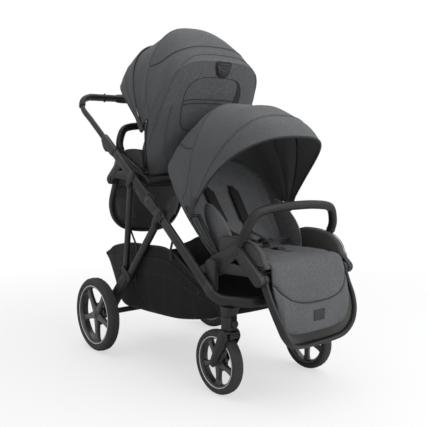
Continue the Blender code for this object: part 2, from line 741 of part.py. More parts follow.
def turned(point, about, angle):
    y, z = point[0] - about[0], point[1] - about[1]
    return (about[0] + y * math.cos(angle) - z * math.sin(angle),
            about[1] + y * math.sin(angle) + z * math.cos(angle))


def mix(a, b, t):
    return a + (b - a) * t


def arch(u, half, rise, power=ARCH_POWER):
    """An arch in its own plane for u from -1 to 1, as (x, height). A higher power squares its corners."""
    a = u * math.pi / 2
    x = math.copysign(abs(math.sin(a)) ** (2 / power), u) * half
    return x, abs(math.cos(a)) ** (2 / power) * rise


BACK_STATIONS = (
    # share of the back's length, half width, depth of the middle, slope of the section
    (0.00, 0.167, 0.084, 0.0),
    (0.25, 0.186, 0.107, 8.0),
    (0.50, 0.204, 0.129, 16.0),
    (0.75, 0.217, 0.185, 29.0),
    (1.00, 0.226, 0.287, 41.2),
)


def back_station(v):
    """Half width, depth and slope of the seat back at share v of its length."""
    for a, c in zip(BACK_STATIONS, BACK_STATIONS[1:]):
        if v <= c[0]:
            t = (v - a[0]) / (c[0] - a[0])
            return [mix(p, q, t) for p, q in zip(a[1:], c[1:])]
    return list(BACK_STATIONS[-1][1:])


def back_power(v):
    """How square the back's section is at share v: it grows towards the collar under the canopy."""
    return mix(ARCH_POWER, COLLAR_POWER, max(0.0, (v - 0.6) / 0.4))


def shell_away(v):
    """How far the shell's edge lies behind the back's hinge line at share v of its length."""
    return BACK_TUBE + GAP + SHELL_LIFT * v


class Seat:
    """One seat, built in its own side view and then placed facing forwards or backwards."""

    def __init__(self, b, prefix, seat, facing, upright, parent):
        self.b = b
        self.prefix = prefix
        self.seat = seat
        self.facing = facing
        self.upright = upright
        self.parent = parent

    def place(self, bm, moves_with_back=False):
        """Takes a mesh from the seat's own view to the stroller."""
        turn = Matrix.Identity(4)
        if moves_with_back and self.upright:
            about = Matrix.Translation((0, *RECLINE_AXIS))
            turn = about @ Matrix.Rotation(self.upright, 4, "X") @ about.inverted()
        if self.facing < 0:
            turn = Matrix.Rotation(math.pi, 4, "Z") @ turn
        move = Matrix.Translation((0, self.seat[0], self.seat[1])) @ turn
        bmesh.ops.transform(bm, matrix=move, verts=bm.verts)
        return bm

    def world(self, local, moves_with_back=False):
        point = turned(local, RECLINE_AXIS, self.upright) if moves_with_back else local
        return seat_point(self.seat, point, self.facing)

    def add(self, name, bm, material, pivot, join=(), cut=(), back=False):
        parts = [self.place(part, back) for part in join]
        cuts = [self.place(part, back) for part in cut]
        self.b.add(f"{self.prefix}_{name}", self.place(bm, back), material, pivot, join=parts, cut=cuts)

    def build(self):
        self.build_frame()
        self.build_seat_pad()
        self.build_bumper()
        self.build_footrest()
        self.build_back()
        self.build_canopy()
        self.build_harness()

    def build_frame(self):
        outside = ARM_INSIDE + ARM_THICK
        rear_cross = (0.271, -0.002)
        front_cross = (0.026, SEAT_PAD_FLOOR - CROSS_TUBE - GAP)
        limbs = ((RECLINE_AXIS, SOCKET, HUB_DISC, 0.020), (SOCKET, (0, 0), 0.0195, HINGE_DISC),
                 (RECLINE_AXIS, rear_cross, 0.022, 0.013), (RECLINE_AXIS, front_cross, 0.024, 0.0135))
        parts = []
        for sign in (-1, 1):
            for n, limb in enumerate(limbs):
                thin = n * LIMB_STEP
                parts.append(plate(capsule(*limb), *span(sign, ARM_INSIDE + thin, outside - thin)))
        bars = [drum(*at, CROSS_TUBE, -ARM_INSIDE - 0.006, ARM_INSIDE + 0.006, 12)
                for at in (rear_cross, front_cross)]
        self.add("seat_frame", bars[0], "plastic", self.parent, join=[*parts, bars[1]])

    def build_seat_pad(self):
        half = ARM_INSIDE - GAP
        waist_half = ARM_INSIDE - FOOTREST_TUBE - 0.006

        def edge(u, v):
            """Place in plan, with rounded corners towards the back."""
            rear = SEAT_PAD_REAR - 0.040 * abs(2 * u - 1) ** 3
            y = mix(SEAT_PAD_FRONT, rear, v)
            waist = max(0.0, min(1.0, (y - 0.125) / 0.035))
            return (2 * u - 1) * mix(half, waist_half, waist), y

        def top(u, v):
            x, y = edge(u, v)
            inset = min(1.0, 4 * v, 5 * (1 - v)) ** 0.5
            crown = SEAT_PAD_TOP - 0.018 + 0.018 * inset * math.cos((u - 0.5) * math.pi) ** 0.3
            wing = max(0.0, abs(2 * u - 1) - 0.62) / 0.38
            lift = math.sin(math.pi * min(1.0, v / 0.78)) ** 0.8 if v < 0.78 else 0.0
            channel = 0.0025 if abs(v - 0.52) < 0.03 else 0.0
            return Vector((x * (1 - 0.010 * wing), y, crown + BOLSTER_RISE * wing ** 0.6 * lift - channel))

        def floor(u, v):
            x, y = edge(u, v)
            return Vector((x, y, SEAT_PAD_FLOOR))

        self.add("seat_pad", slab(top, floor, 8, 12), "cushion", self.parent)

    def build_bumper(self):
        name = f"{self.prefix}_bumper"
        lift = (-math.sin(SOCKET_LEAN), math.cos(SOCKET_LEAN))
        base = (SOCKET[0] + lift[0] * (0.020 + GAP), SOCKET[1] + lift[1] * (0.020 + GAP))
        x = ARM_INSIDE + ARM_THICK / 2
        self.b.pivot(name, (0, *self.world(base)), self.parent)
        half = [Vector((-x, *base)), Vector((-x, base[0] + lift[0] * 0.030, base[1] + lift[1] * 0.030)),
                Vector((-x + 0.005, 0.061, 0.150)), Vector((-x + 0.025, 0.050, 0.189)),
                Vector((-0.146, 0.043, 0.206)), Vector((-0.075, 0.041, 0.214)), Vector((0, 0.042, 0.215))]
        bar = bow(smooth_half(half, 2), 2 * BUMPER_RADIUS, 2 * BUMPER_RADIUS,
                  scale=lambda t: 0.72 if t < 0.03 else 1.0)
        self.add("bumper_bar", bar, "grip", name)

    def build_footrest(self):
        name = f"{self.prefix}_footrest"
        self.b.pivot(name, (0, *self.world((0, 0))), self.parent)
        x = ARM_INSIDE - GAP - FOOTREST_TUBE / 2
        half = [Vector((-x, -0.004, -0.012)), Vector((-x, -0.018, -0.045)),
                Vector((-x + 0.003, -0.042, -0.090)), Vector((-0.169, -0.058, -0.132)),
                Vector((-0.150, -0.063, -0.172)), Vector((-0.115, -0.058, -0.203)),
                Vector((-0.060, -0.044, -0.217)), Vector((0, -0.036, -0.221))]
        tube = bow(smooth_half(half, 2), FOOTREST_TUBE, FOOTREST_DEEP)
        hubs = [drum(0, 0, HINGE_DISC - 0.002, *span(sign, x - FOOTREST_TUBE / 2, ARM_INSIDE - GAP))
                for sign in (-1, 1)]
        self.add("footrest_bow", tube, "frame", name, join=hubs)

        def calf(u, v, depth):
            reach = 0.006 + v * CALF_LONG
            side = x - FOOTREST_TUBE / 2 - GAP
            narrow = side * (1 - 0.018 * v - 0.30 * max(0.0, v - 0.45) ** 1.3 / 0.55 ** 1.3)
            across = 2 * u - 1
            y = -0.026 - 0.022 * math.sin(v * math.pi * 0.75)
            puff = (1 - across ** 4) * min(1.0, 5 * (1 - v), 6 * v + 0.25) ** 0.5
            return Vector((across * narrow, y - depth * (0.35 + 0.65 * puff), -reach))

        self.add("calf_pad", slab(lambda u, v: calf(u, v, CALF_THICK * 0.6),
                                  lambda u, v: calf(u, v, -CALF_THICK * 0.4), 8, 8), "cushion", name)

    def back_point(self, u, v, inset):
        """A point of the back, u across from -1 to 1, v up from 0 to 1, inset from its outside."""
        half, depth, slope = back_station(v)
        x, out = arch(u, half - inset, depth - inset, back_power(v))
        lean = math.radians(slope)
        y = mix(RECLINE_AXIS[0] + 0.005, CANOPY_AXIS[0], v)
        z = mix(RECLINE_AXIS[1] - 0.005, CANOPY_AXIS[1], v)
        away = shell_away(v)
        return Vector((x, y + (out + away) * math.cos(lean), z + (out + away) * math.sin(lean)))

    def pad_front(self, u, v):
        """The face of the back cushion, which swells towards its middle."""
        inset = SHELL_THICK + PAD_GAP
        behind = self.back_point(u, v, inset)
        half, depth, slope = back_station(v)
        lean = math.radians(slope)
        puff = (1 - abs(u / 0.86) ** 3) if abs(u) < 0.86 else 0.0
        ends = min(1.0, 5 * (v - 0.12), 7 * (1 - v) + 0.2) ** 0.5
        thick = 0.010 + (BACK_PAD_THICK - 0.010) * max(0.0, puff) * ends
        return behind - Vector((0, math.cos(lean), math.sin(lean))) * thick

    def build_back(self):
        name = f"{self.prefix}_back"
        self.b.pivot(name, (0, *self.world(RECLINE_AXIS)), self.parent)
        x = ARM_INSIDE - GAP - FOOTREST_TUBE / 2
        rods = []
        for sign in (-1, 1):
            clear = [mix(a, c, 0.28) for a, c in zip(RECLINE_AXIS, CANOPY_AXIS)]
            path = [Vector((sign * x, *RECLINE_AXIS)), Vector((sign * x, *clear)),
                    Vector((sign * (x + 0.014), *CANOPY_AXIS))]
            rods.append(round_sweep(path, BACK_TUBE))
            rods.append(drum(*RECLINE_AXIS, 0.015, *span(sign, x - 0.007, ARM_INSIDE - GAP)))
            pin = span(sign, x + 0.010, CANOPY_HALF + CLOTH_CLEARANCE - GAP)
            rods.append(drum(*CANOPY_AXIS, CANOPY_PIN, *pin))
        bar = drum(*RECLINE_AXIS, BACK_TUBE, -x, x, 12)
        self.add("back_frame", bar, "frame", name, join=rods, back=True)

        def outside(u, v):
            return self.back_point(2 * u - 1, v, 0.0)

        def inside(u, v):
            return self.back_point(2 * u - 1, v, SHELL_THICK)

        self.add("back_shell", slab(outside, inside, 8, 16), "cover", name, back=True)

        wide = 14 / 16

        def pad_face(u, v):
            return self.pad_front(wide * (2 * u - 1), mix(0.125, 1.0, v))

        def pad_back(u, v):
            return self.back_point(wide * (2 * u - 1), mix(0.125, 1.0, v), SHELL_THICK + PAD_GAP)

        self.add("back_pad", slab(pad_face, pad_back, 7, 14), "cushion", name, back=True)

        squeeze = f"{self.prefix}_recline_handle"
        at = self.back_point(0.0, RECLINE_HANDLE_SHARE, 0.0)
        handle_at = self.world((at.y, at.z), True)
        self.b.pivot(squeeze, (0, *handle_at), name)
        up = (self.back_point(0.0, 1.0, 0.0) - self.back_point(0.0, 0.88, 0.0)).normalized()
        out = Vector((0, up.z, -up.y))
        low = at + out * (RECLINE_HANDLE_THICK / 2 - 0.0012) - up * 0.022
        body = sweep([low, low + up * 0.044], 0.058, RECLINE_HANDLE_THICK, scale=lambda t: 0.86 + 0.14 * t)
        self.add("recline_handle", body, "plastic", squeeze, back=True)

    def canopy_point(self, u, angle, grow, bottom=0.03):
        """A point of the hood at an angle about the canopy axis, u across from -1 to 1."""
        t = max(0.0, min(1.0, (angle - HOOD_REAR) / (HOOD_BOW - HOOD_REAR)))
        rise = mix(BACK_STATIONS[-1][2] + shell_away(1.0), CANOPY_RISE, t ** 1.3)
        power = mix(COLLAR_POWER, ARCH_POWER, t)
        x, out = arch(u * (1 - bottom), CANOPY_HALF + grow, rise + grow, power)
        return Vector((x, CANOPY_AXIS[0] + out * math.cos(angle), CANOPY_AXIS[1] + out * math.sin(angle)))

    def build_canopy(self):
        name = f"{self.prefix}_canopy"
        back = f"{self.prefix}_back"
        self.b.pivot(name, (0, *self.world(CANOPY_AXIS, True)), back)

        def hood(u, v, grow):
            return self.canopy_point(2 * u - 1, mix(HOOD_REAR, HOOD_FRONT, v), grow)

        shell = slab(lambda u, v: hood(u, v, 0.0), lambda u, v: hood(u, v, -CLOTH_THICK), 6, 16)
        self.add("canopy_hood", shell, "cover", back, back=True)
        step = CLOTH_CLEARANCE

        def visor(u, v, grow):
            across = 2 * u - 1
            lip = mix(VISOR_SIDE, VISOR_LIP, math.cos(across * math.pi / 2) ** 0.8)
            return self.canopy_point(across, mix(HOOD_FRONT - 0.03, lip, v), grow, 0.02)

        ears = []
        middle = (HOOD_FRONT + VISOR_SIDE) / 2
        tip = side_point(CANOPY_AXIS, middle, VISOR_EAR)
        for sign in (-1, 1):
            reach = span(sign, CANOPY_HALF + step, CANOPY_HALF + step + CLOTH_THICK)
            ears.append(plate(capsule(CANOPY_AXIS, tip, 0.012, 0.009), *reach))
        shell = slab(lambda u, v: visor(u, v, step + CLOTH_THICK), lambda u, v: visor(u, v, step), 4, 16)
        self.add("canopy_visor", shell, "cover", name, ears, back=True)

    def build_harness(self):
        buckle = Vector((0, 0.196, SEAT_PAD_TOP + 0.012))
        turn = Matrix.Translation((0, *RECLINE_AXIS)) @ Matrix.Rotation(self.upright, 4, "X")
        turn = turn @ Matrix.Translation((0, -RECLINE_AXIS[0], -RECLINE_AXIS[1]))

        def on_pad(x, v):
            share = abs(x) / (back_station(v)[0] - SHELL_THICK)
            u = 2 / math.pi * math.asin(share ** (back_power(v) / 2))
            rise = (self.pad_front(0.0, v + 0.08) - self.pad_front(0.0, v - 0.08)).normalized()
            out = Vector((0, -rise.z, rise.y))
            return turn @ (self.pad_front(math.copysign(u, x), v) + out * (STRAP_THICK / 2 + STRAP_LIFT))

        half = [on_pad(-0.058, 0.80), on_pad(-0.056, 0.66), on_pad(-0.052, 0.52), on_pad(-0.046, 0.40),
                buckle + Vector((-0.030, 0.028, 0.010)), buckle]
        shoulder = bow(smooth_half(half, 2), STRAP_WIDE, STRAP_THICK, sides=6)
        reach = ARM_INSIDE - 0.045
        half = [Vector((-reach, buckle.y + 0.034, buckle.z + 0.012)),
                Vector((-0.090, buckle.y + 0.018, buckle.z + 0.006)), buckle + Vector((0, 0.001, 0.001))]
        hip = bow(smooth_half(half, 2), STRAP_WIDE * 0.7, STRAP_THICK * 0.8, sides=6, across=(0, 1, 0))
        low = SEAT_PAD_TOP - 2 * GAP
        crotch = brick((-STRAP_WIDE / 2, buckle.y - 0.002, low),
                       (STRAP_WIDE / 2, buckle.y + 0.002, buckle.z))
        self.add("harness", shoulder, "webbing", self.parent, join=[hip, crotch])
        top = buckle.z + STRAP_THICK + 0.0035
        middle = buckle.y - 0.010
        face = top + BUCKLE_THICK
        case = disc(middle, 0.026, 0.024, top, face, 20)
        floor = face - BUCKLE_POCKET
        pocket = disc(middle, BUTTON_RADIUS + GAP, BUTTON_RADIUS + GAP, floor, face + 0.002, 16)
        self.add("buckle", case, "plastic", self.parent, cut=[pocket])
        name = f"{self.prefix}_buckle_button"
        self.b.pivot(name, (0, *self.world((middle, face))), self.parent)
        rest = floor + BUCKLE_TRAVEL + GAP
        knob = disc(middle, BUTTON_RADIUS, BUTTON_RADIUS, rest, face + BUCKLE_TRAVEL, 16)
        self.add("buckle_button", knob, "plastic", name)


BASKET_STATIONS = (
    # y, floor height, rim height, half width at the rim, half width at the floor
    (0.452, 0.352, 0.372, 0.196, 0.180),
    (0.385, 0.262, 0.398, 0.206, 0.178),
    (0.318, 0.205, 0.425, 0.214, 0.182),
    (0.210, 0.192, 0.440, 0.222, 0.185),
    (0.090, 0.190, 0.447, 0.2323, 0.185),
    (-0.030, 0.194, 0.447, 0.226, 0.185),
    (-0.115, 0.206, 0.405, 0.220, 0.180),
    (-0.190, 0.220, 0.352, 0.208, 0.172),
    (-0.255, 0.240, 0.302, 0.186, 0.160),
)


def build_basket(b):
    """A tub of cloth: an outer skin down one side, across and up, and the same with the wall's inset."""
    corner = (0.0, 0.30, 0.62, 0.86, 0.97)

    def skin(inset):
        rows = []
        last = len(BASKET_STATIONS) - 1
        for n, (y, floor, rim, top_half, low_half) in enumerate(BASKET_STATIONS):
            at = y - inset if n == 0 else y + inset if n == last else y
            row = []
            for share in corner:
                belly = math.sin(share * math.pi / 2)
                drop = mix(rim, floor + inset, belly)
                half = mix(top_half, low_half, share ** 2) - inset
                row.append(Vector((-half, at, drop)))
            row.append(Vector((-low_half * 0.86 + inset, at, floor + inset)))
            rows.append(row + [Vector((-p.x, p.y, p.z)) for p in reversed(row)])
        return rows

    def patch(bm, rows):
        grid = [[bm.verts.new(p) for p in row] for row in rows]
        for a, c in zip(grid, grid[1:]):
            for i in range(len(a) - 1):
                bm.faces.new((a[i], a[i + 1], c[i + 1], c[i]))
        bm.faces.new(grid[0])
        bm.faces.new(grid[-1])
        return grid

    bm = bmesh.new()
    outer = patch(bm, skin(0.0))
    inner = patch(bm, skin(BASKET_WALL))
    rim_loop = [row[0] for row in outer] + [row[-1] for row in reversed(outer)]
    inner_loop = [row[0] for row in inner] + [row[-1] for row in reversed(inner)]
    count = len(rim_loop)
    for i in range(count):
        j = (i + 1) % count
        bm.faces.new((rim_loop[i], rim_loop[j], inner_loop[j], inner_loop[i]))
    b.add("basket", close_mesh(bm), "basket")


def build():
    clear_scene()
    b = Builder()
    b.pivot("fold", (0, *FOLD_AXIS))
    b.pivot("leg_fold", (0, *leg_pivot()))
    build_side_tubes(b)
    build_front_crossbar(b)
    build_casters(b)
    build_rear_frame(b)
    build_handle(b)
    build_basket(b)
    Seat(b, "front", FRONT_SEAT, 1, 0.0, "stroller").build()
    Seat(b, "rear", REAR_SEAT, -1, REAR_SEAT_UPRIGHT, "fold").build()
    b.centre()
    return b


build()
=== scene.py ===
"""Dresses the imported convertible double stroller: tubes, wheels, cloth, cushions, straps and trim.

Metres, +Z up. The front faces -Y, the pushing handle is at +Y, and right is at -X. Shapes are drawn
in the same side view as the CAD, as (y, z) pairs over the ground, and each finished piece is then
moved by CENTRED, because the CAD centres the whole model over the origin.
"""

import json
from math import acos, asin, atan2, copysign, cos, exp, hypot, pi, radians, sin

import bmesh
import bpy
from mathutils import Matrix, Vector
from mathutils.bvhtree import BVHTree
from mathutils.kdtree import KDTree


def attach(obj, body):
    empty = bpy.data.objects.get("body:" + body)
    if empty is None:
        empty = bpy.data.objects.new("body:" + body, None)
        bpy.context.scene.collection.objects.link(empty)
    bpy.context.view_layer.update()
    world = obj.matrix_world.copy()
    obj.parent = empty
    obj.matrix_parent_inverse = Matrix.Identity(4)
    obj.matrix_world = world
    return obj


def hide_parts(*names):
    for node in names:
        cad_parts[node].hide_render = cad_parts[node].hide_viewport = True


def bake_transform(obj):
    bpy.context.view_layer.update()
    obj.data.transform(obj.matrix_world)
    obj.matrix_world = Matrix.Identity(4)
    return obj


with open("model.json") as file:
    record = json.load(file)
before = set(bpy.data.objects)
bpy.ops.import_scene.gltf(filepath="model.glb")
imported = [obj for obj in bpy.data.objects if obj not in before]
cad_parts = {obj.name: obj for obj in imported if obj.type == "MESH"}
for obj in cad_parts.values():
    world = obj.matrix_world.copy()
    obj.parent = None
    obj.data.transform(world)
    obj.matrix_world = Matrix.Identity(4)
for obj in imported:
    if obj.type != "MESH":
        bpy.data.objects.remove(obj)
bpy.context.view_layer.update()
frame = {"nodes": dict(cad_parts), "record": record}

bl_info = {
    "name": "Double Stroller",
    "version": (1, 0, 0),
    "blender": (4, 5, 0),
    "location": "View3D > Sidebar > Stroller",
    "description": "Dresses a convertible double stroller with tubes, wheels, cloth and trim",
    "category": "Object",
}

CENTRED = -0.01496

# Side frame, in the side view
TUBE_X = 0.243
TUBE_WIDE = 0.022
TUBE_DEEP = 0.035
FOLD_AXIS = (0.045, 0.611)
UPPER_SLOPE = radians(35.1)
LOWER_SLOPE = radians(37.8)
UPPER_LONG = 0.346
LOWER_LONG = 0.44
LEG_SLOPE = radians(48.8)
AXLE_Y = 0.367
CASTER_X = 0.208
CASTER_Y = -0.35
CROSSBAR_Z = 0.32
CROSSBAR_Y = -0.438
HANDLE_TOP = (0.571, 1.013)
FRONT_WHEEL = (0.1072, 0.04)
REAR_WHEEL = (0.1455, 0.046)
FRONT_AXLE_Z = 0.10668
REAR_AXLE_Z = 0.1448
REAR_TRACK = 0.577

# Seats. Each is drawn in its own side view from the footrest hinge, with y running to its back.
ARM_INSIDE = 0.19
ARM_THICK = 0.0237
RECLINE_AXIS = (0.2, 0.02)
CANOPY_AXIS = (0.305, 0.174)
SOCKET = (0.097, 0.08)
SOCKET_LEAN = radians(30.0)
ARCH_POWER = 2.6
CANOPY_HALF = 0.226


def linear(code):
    """An sRGB hex colour as linear red, green and blue."""
    shares = [int(code[i:i + 2], 16) / 255 for i in (1, 3, 5)]
    return tuple(s / 12.92 if s <= 0.04045 else ((s + 0.055) / 1.055) ** 2.4 for s in shares)


def colour_property(name, description, code):
    return bpy.props.FloatVectorProperty(name=name, description=description, subtype="COLOR", size=3,
                                         min=0.0, max=1.0, default=linear(code))


def length_property(name, description, default):
    return bpy.props.FloatProperty(name=name, description=description, unit="LENGTH", precision=4,
                                   min=0.0, default=default)


class StrollerColours(bpy.types.PropertyGroup):
    """The colours of the stroller's finishes."""
    frame: colour_property("Frame", "Satin powder coat of the tubes", "#17181a")
    moulding: colour_property("Mouldings", "Grained nylon of hubs, arms and housings", "#161617")
    rim: colour_property("Rims", "Satin moulded wheel plastic", "#3a3a3b")
    ring: colour_property("Rim ring", "Silver foil ring round each rim", "#c4c4c4")
    tyre: colour_property("Tyres", "Foam-filled rubber", "#29292a")
    canopy: colour_property("Canopy cloth", "Melange cloth of canopies and seat backs", "#545557")
    cushion: colour_property("Cushion cloth", "Paler melange cloth of seat and calf pads", "#57585a")
    back_pad: colour_property("Back pad cloth", "Melange cloth of the back cushions", "#67686a")
    lining: colour_property("Lining", "Plain weave inside the canopies", "#4b4b4a")
    net: colour_property("Net", "Ventilation net inside the canopies", "#6f6f63")
    webbing: colour_property("Webbing", "Harness straps and their pads", "#101011")
    basket: colour_property("Basket", "Coated black cloth of the basket", "#0f0f10")
    leatherette: colour_property("Leatherette", "Grained sleeves of handle and bumper bars", "#171718")
    piping: colour_property("Piping", "Black binding and piped seams", "#151516")
    thread: colour_property("Thread", "Sewing thread", "#4b4d50")
    steel: colour_property("Rivets", "Blackened zinc on rivets and pins", "#3c3d3e")
    patch: colour_property("Patch", "Plain rubber patch on the calf pads", "#1d1e1f")
    floor: colour_property("Floor", "Pale studio floor", "#f4f4f4")


class StrollerSizes(bpy.types.PropertyGroup):
    """The small sizes of seams, treads and cloth."""
    stitch_pitch: length_property("Stitch pitch", "Distance from one stitch to the next", 0.0052)
    stitch_long: length_property("Stitch length", "Length of one stitch", 0.0036)
    thread: length_property("Thread", "Thickness of the sewing thread", 0.0011)
    piping: length_property("Piping", "Radius of the piped seams", 0.0021)
    tread_deep: length_property("Tread depth", "Depth of the tyre's grooves", 0.0012)
    tread_count: bpy.props.IntProperty(name="Tread blocks", description="Blocks round one tyre",
                                       min=12, max=120, default=54)
    spokes: bpy.props.IntProperty(name="Spokes", description="Spokes of each wheel", min=3, max=9,
                                  default=5)
    swell: length_property("Cushion swell", "How far a cushion's filling may push its cover out", 0.009)
    sag: length_property("Canopy sag", "How far the cloth sinks between two bows", 0.006)


# Materials

WHITE = (1.0, 1.0, 1.0, 1.0)

def add_node(tree, kind, inputs=None, **settings):
    """Adds a node, sets it, and fills or links its inputs."""
    made = tree.nodes.new(kind)
    for key, value in settings.items():
        setattr(made, key, value)
    for key, value in (inputs or {}).items():
        if isinstance(value, bpy.types.NodeSocket):
            tree.links.new(value, made.inputs[key])
        else:
            made.inputs[key].default_value = value
    return made


def per_metre(size_mm):
    """A texture scale whose features are this many millimetres apart."""
    return 1000.0 / size_mm


def shade(colour, factor):
    return (*(min(1.0, c * factor) for c in colour), 1.0)


def start_finish(name, colour, roughness, metallic=0.0, **sockets):
    """A named material with its even values on the shader's own sockets."""
    material = bpy.data.materials.new(name)
    material.use_nodes = True
    material.diffuse_color = (*colour, 1.0)
    tree = material.node_tree
    shader = tree.nodes["Principled BSDF"]
    shader.inputs["Base Color"].default_value = (*colour, 1.0)
    shader.inputs["Roughness"].default_value = roughness
    shader.inputs["Metallic"].default_value = metallic
    for key, value in sockets.items():
        shader.inputs[key.replace("_", " ")].default_value = value
    return material, tree, shader


def object_place(tree, stretch=(1.0, 1.0, 1.0)):
    """Object coordinates in metres, stretched where a grain has a direction."""
    place = add_node(tree, "ShaderNodeTexCoord").outputs["Object"]
    return add_node(tree, "ShaderNodeMapping", {"Vector": place, "Scale": stretch}).outputs["Vector"]


def sewn_place(tree, stretch=(1.0, 1.0, 1.0)):
    """The cloth's own coordinates in metres, along and across the threads."""
    place = add_node(tree, "ShaderNodeUVMap", uv_map="cloth").outputs["UV"]
    return add_node(tree, "ShaderNodeMapping", {"Vector": place, "Scale": stretch}).outputs["Vector"]


def raise_surface(tree, shader, height, distance):
    bump = add_node(tree, "ShaderNodeBump", {"Height": height, "Distance": distance})
    tree.links.new(bump.outputs["Normal"], shader.inputs["Normal"])


def vary(tree, factor, low, high, at=(0.35, 0.65)):
    """A ramp from one value or colour to another over the middle of a texture."""
    ramp = add_node(tree, "ShaderNodeValToRGB", {"Fac": factor})
    ramp.color_ramp.elements[0].position = at[0]
    ramp.color_ramp.elements[1].position = at[1]
    for element, value in zip(ramp.color_ramp.elements, (low, high)):
        element.color = value if isinstance(value, tuple) else (value, value, value, 1.0)
    return ramp.outputs["Color"]


def drive(shader, socket, factor, low, high, at=(0.35, 0.65)):
    """Lets one of the shader's values or colours run from low to high with a texture."""
    tree = shader.id_data
    tree.links.new(vary(tree, factor, low, high, at), shader.inputs[socket])


def painted_tube(name, colour):
    """Satin powder coat on aluminium: an even orange-peel skin, with its edges painted paler as a
    highlight.
    """
    material, tree, shader = start_finish(name, colour, 0.46, Specular_IOR_Level=0.35)
    place = object_place(tree)
    # The real peel is about 0.6 mm across, drawn at 2 mm so that it shows.
    peel = add_node(tree, "ShaderNodeTexNoise", {"Vector": place, "Scale": per_metre(2.0), "Detail": 3.0})
    handling = add_node(tree, "ShaderNodeTexNoise",
                        {"Vector": place, "Scale": per_metre(60.0), "Detail": 4.0})
    edge = add_node(tree, "ShaderNodeNewGeometry").outputs["Pointiness"]
    # Convex edges are painted up to half again paler: a painted highlight.
    edge_highlight = vary(tree, edge, shade(colour, 1.0), shade(colour, 1.5), (0.52, 0.62))
    patchy = vary(tree, handling.outputs["Fac"], shade(colour, 0.92), shade(colour, 1.08))
    blend = add_node(tree, "ShaderNodeMix", {"Factor": 0.5, "A": edge_highlight, "B": patchy}, data_type="RGBA")
    tree.links.new(blend.outputs["Result"], shader.inputs["Base Color"])
    drive(shader, "Roughness", handling.outputs["Fac"], 0.42, 0.52)
    raise_surface(tree, shader, peel.outputs["Fac"], 0.00012)
    return material


def grained_nylon(name, colour, roughness=0.52, grain_mm=1.4):
    """Moulded nylon with a spark-eroded grain: matt, with scattered shine on the grain's tops."""
    material, tree, shader = start_finish(name, colour, roughness, Specular_IOR_Level=0.45)
    place = object_place(tree)
    grain = add_node(tree, "ShaderNodeTexVoronoi", {"Vector": place, "Scale": per_metre(grain_mm)})
    flow = add_node(tree, "ShaderNodeTexNoise", {"Vector": place, "Scale": per_metre(35.0), "Detail": 3.0})
    drive(shader, "Base Color", flow.outputs["Fac"], shade(colour, 0.86), shade(colour, 1.16))
    drive(shader, "Roughness", grain.outputs["Distance"], roughness - 0.07, roughness + 0.07, (0.1, 0.7))
    raise_surface(tree, shader, grain.outputs["Distance"], 0.00018)
    return material


def polished_rim(name, colour):
    """Injection-moulded wheel plastic: a satin skin with faint flow marks."""
    material, tree, shader = start_finish(name, colour, 0.3, Coat_Weight=0.1, Coat_Roughness=0.25)
    place = object_place(tree)
    flow = add_node(tree, "ShaderNodeTexNoise", {"Vector": place, "Scale": per_metre(24.0), "Detail": 5.0})
    skin = add_node(tree, "ShaderNodeTexNoise", {"Vector": place, "Scale": per_metre(2.5), "Detail": 2.0})
    drive(shader, "Base Color", flow.outputs["Fac"], shade(colour, 0.88), shade(colour, 1.12))
    drive(shader, "Roughness", flow.outputs["Fac"], 0.26, 0.36)
    raise_surface(tree, shader, skin.outputs["Fac"], 0.00008)
    return material


def bright_metal(name, colour, roughness, streak_mm):
    """Bright metal or foil with fine drawing streaks, which widen its highlight."""
    material, tree, shader = start_finish(name, colour, roughness, 1.0)
    place = object_place(tree, (1.0, 0.2, 1.0))
    streaks = add_node(tree, "ShaderNodeTexNoise", {"Vector": place, "Scale": per_metre(streak_mm),
                                                    "Detail": 2.0})
    drive(shader, "Roughness", streaks.outputs["Fac"], roughness - 0.06, roughness + 0.08)
    drive(shader, "Base Color", streaks.outputs["Fac"], shade(colour, 0.92), shade(colour, 1.04))
    return material


def tyre_rubber(name, colour):
    """Moulded rubber over foam: dull, finely pitted, with a little grey dust in the hollows."""
    material, tree, shader = start_finish(name, colour, 0.78)
    place = object_place(tree)
    pits = add_node(tree, "ShaderNodeTexNoise", {"Vector": place, "Scale": per_metre(1.8), "Detail": 4.0})
    dust = add_node(tree, "ShaderNodeTexNoise", {"Vector": place, "Scale": per_metre(45.0), "Detail": 6.0})
    drive(shader, "Base Color", dust.outputs["Fac"], shade(colour, 0.85), shade(colour, 1.28), (0.35, 0.75))
    drive(shader, "Roughness", dust.outputs["Fac"], 0.7, 0.86)
    raise_surface(tree, shader, pits.outputs["Fac"], 0.00025)
    return material


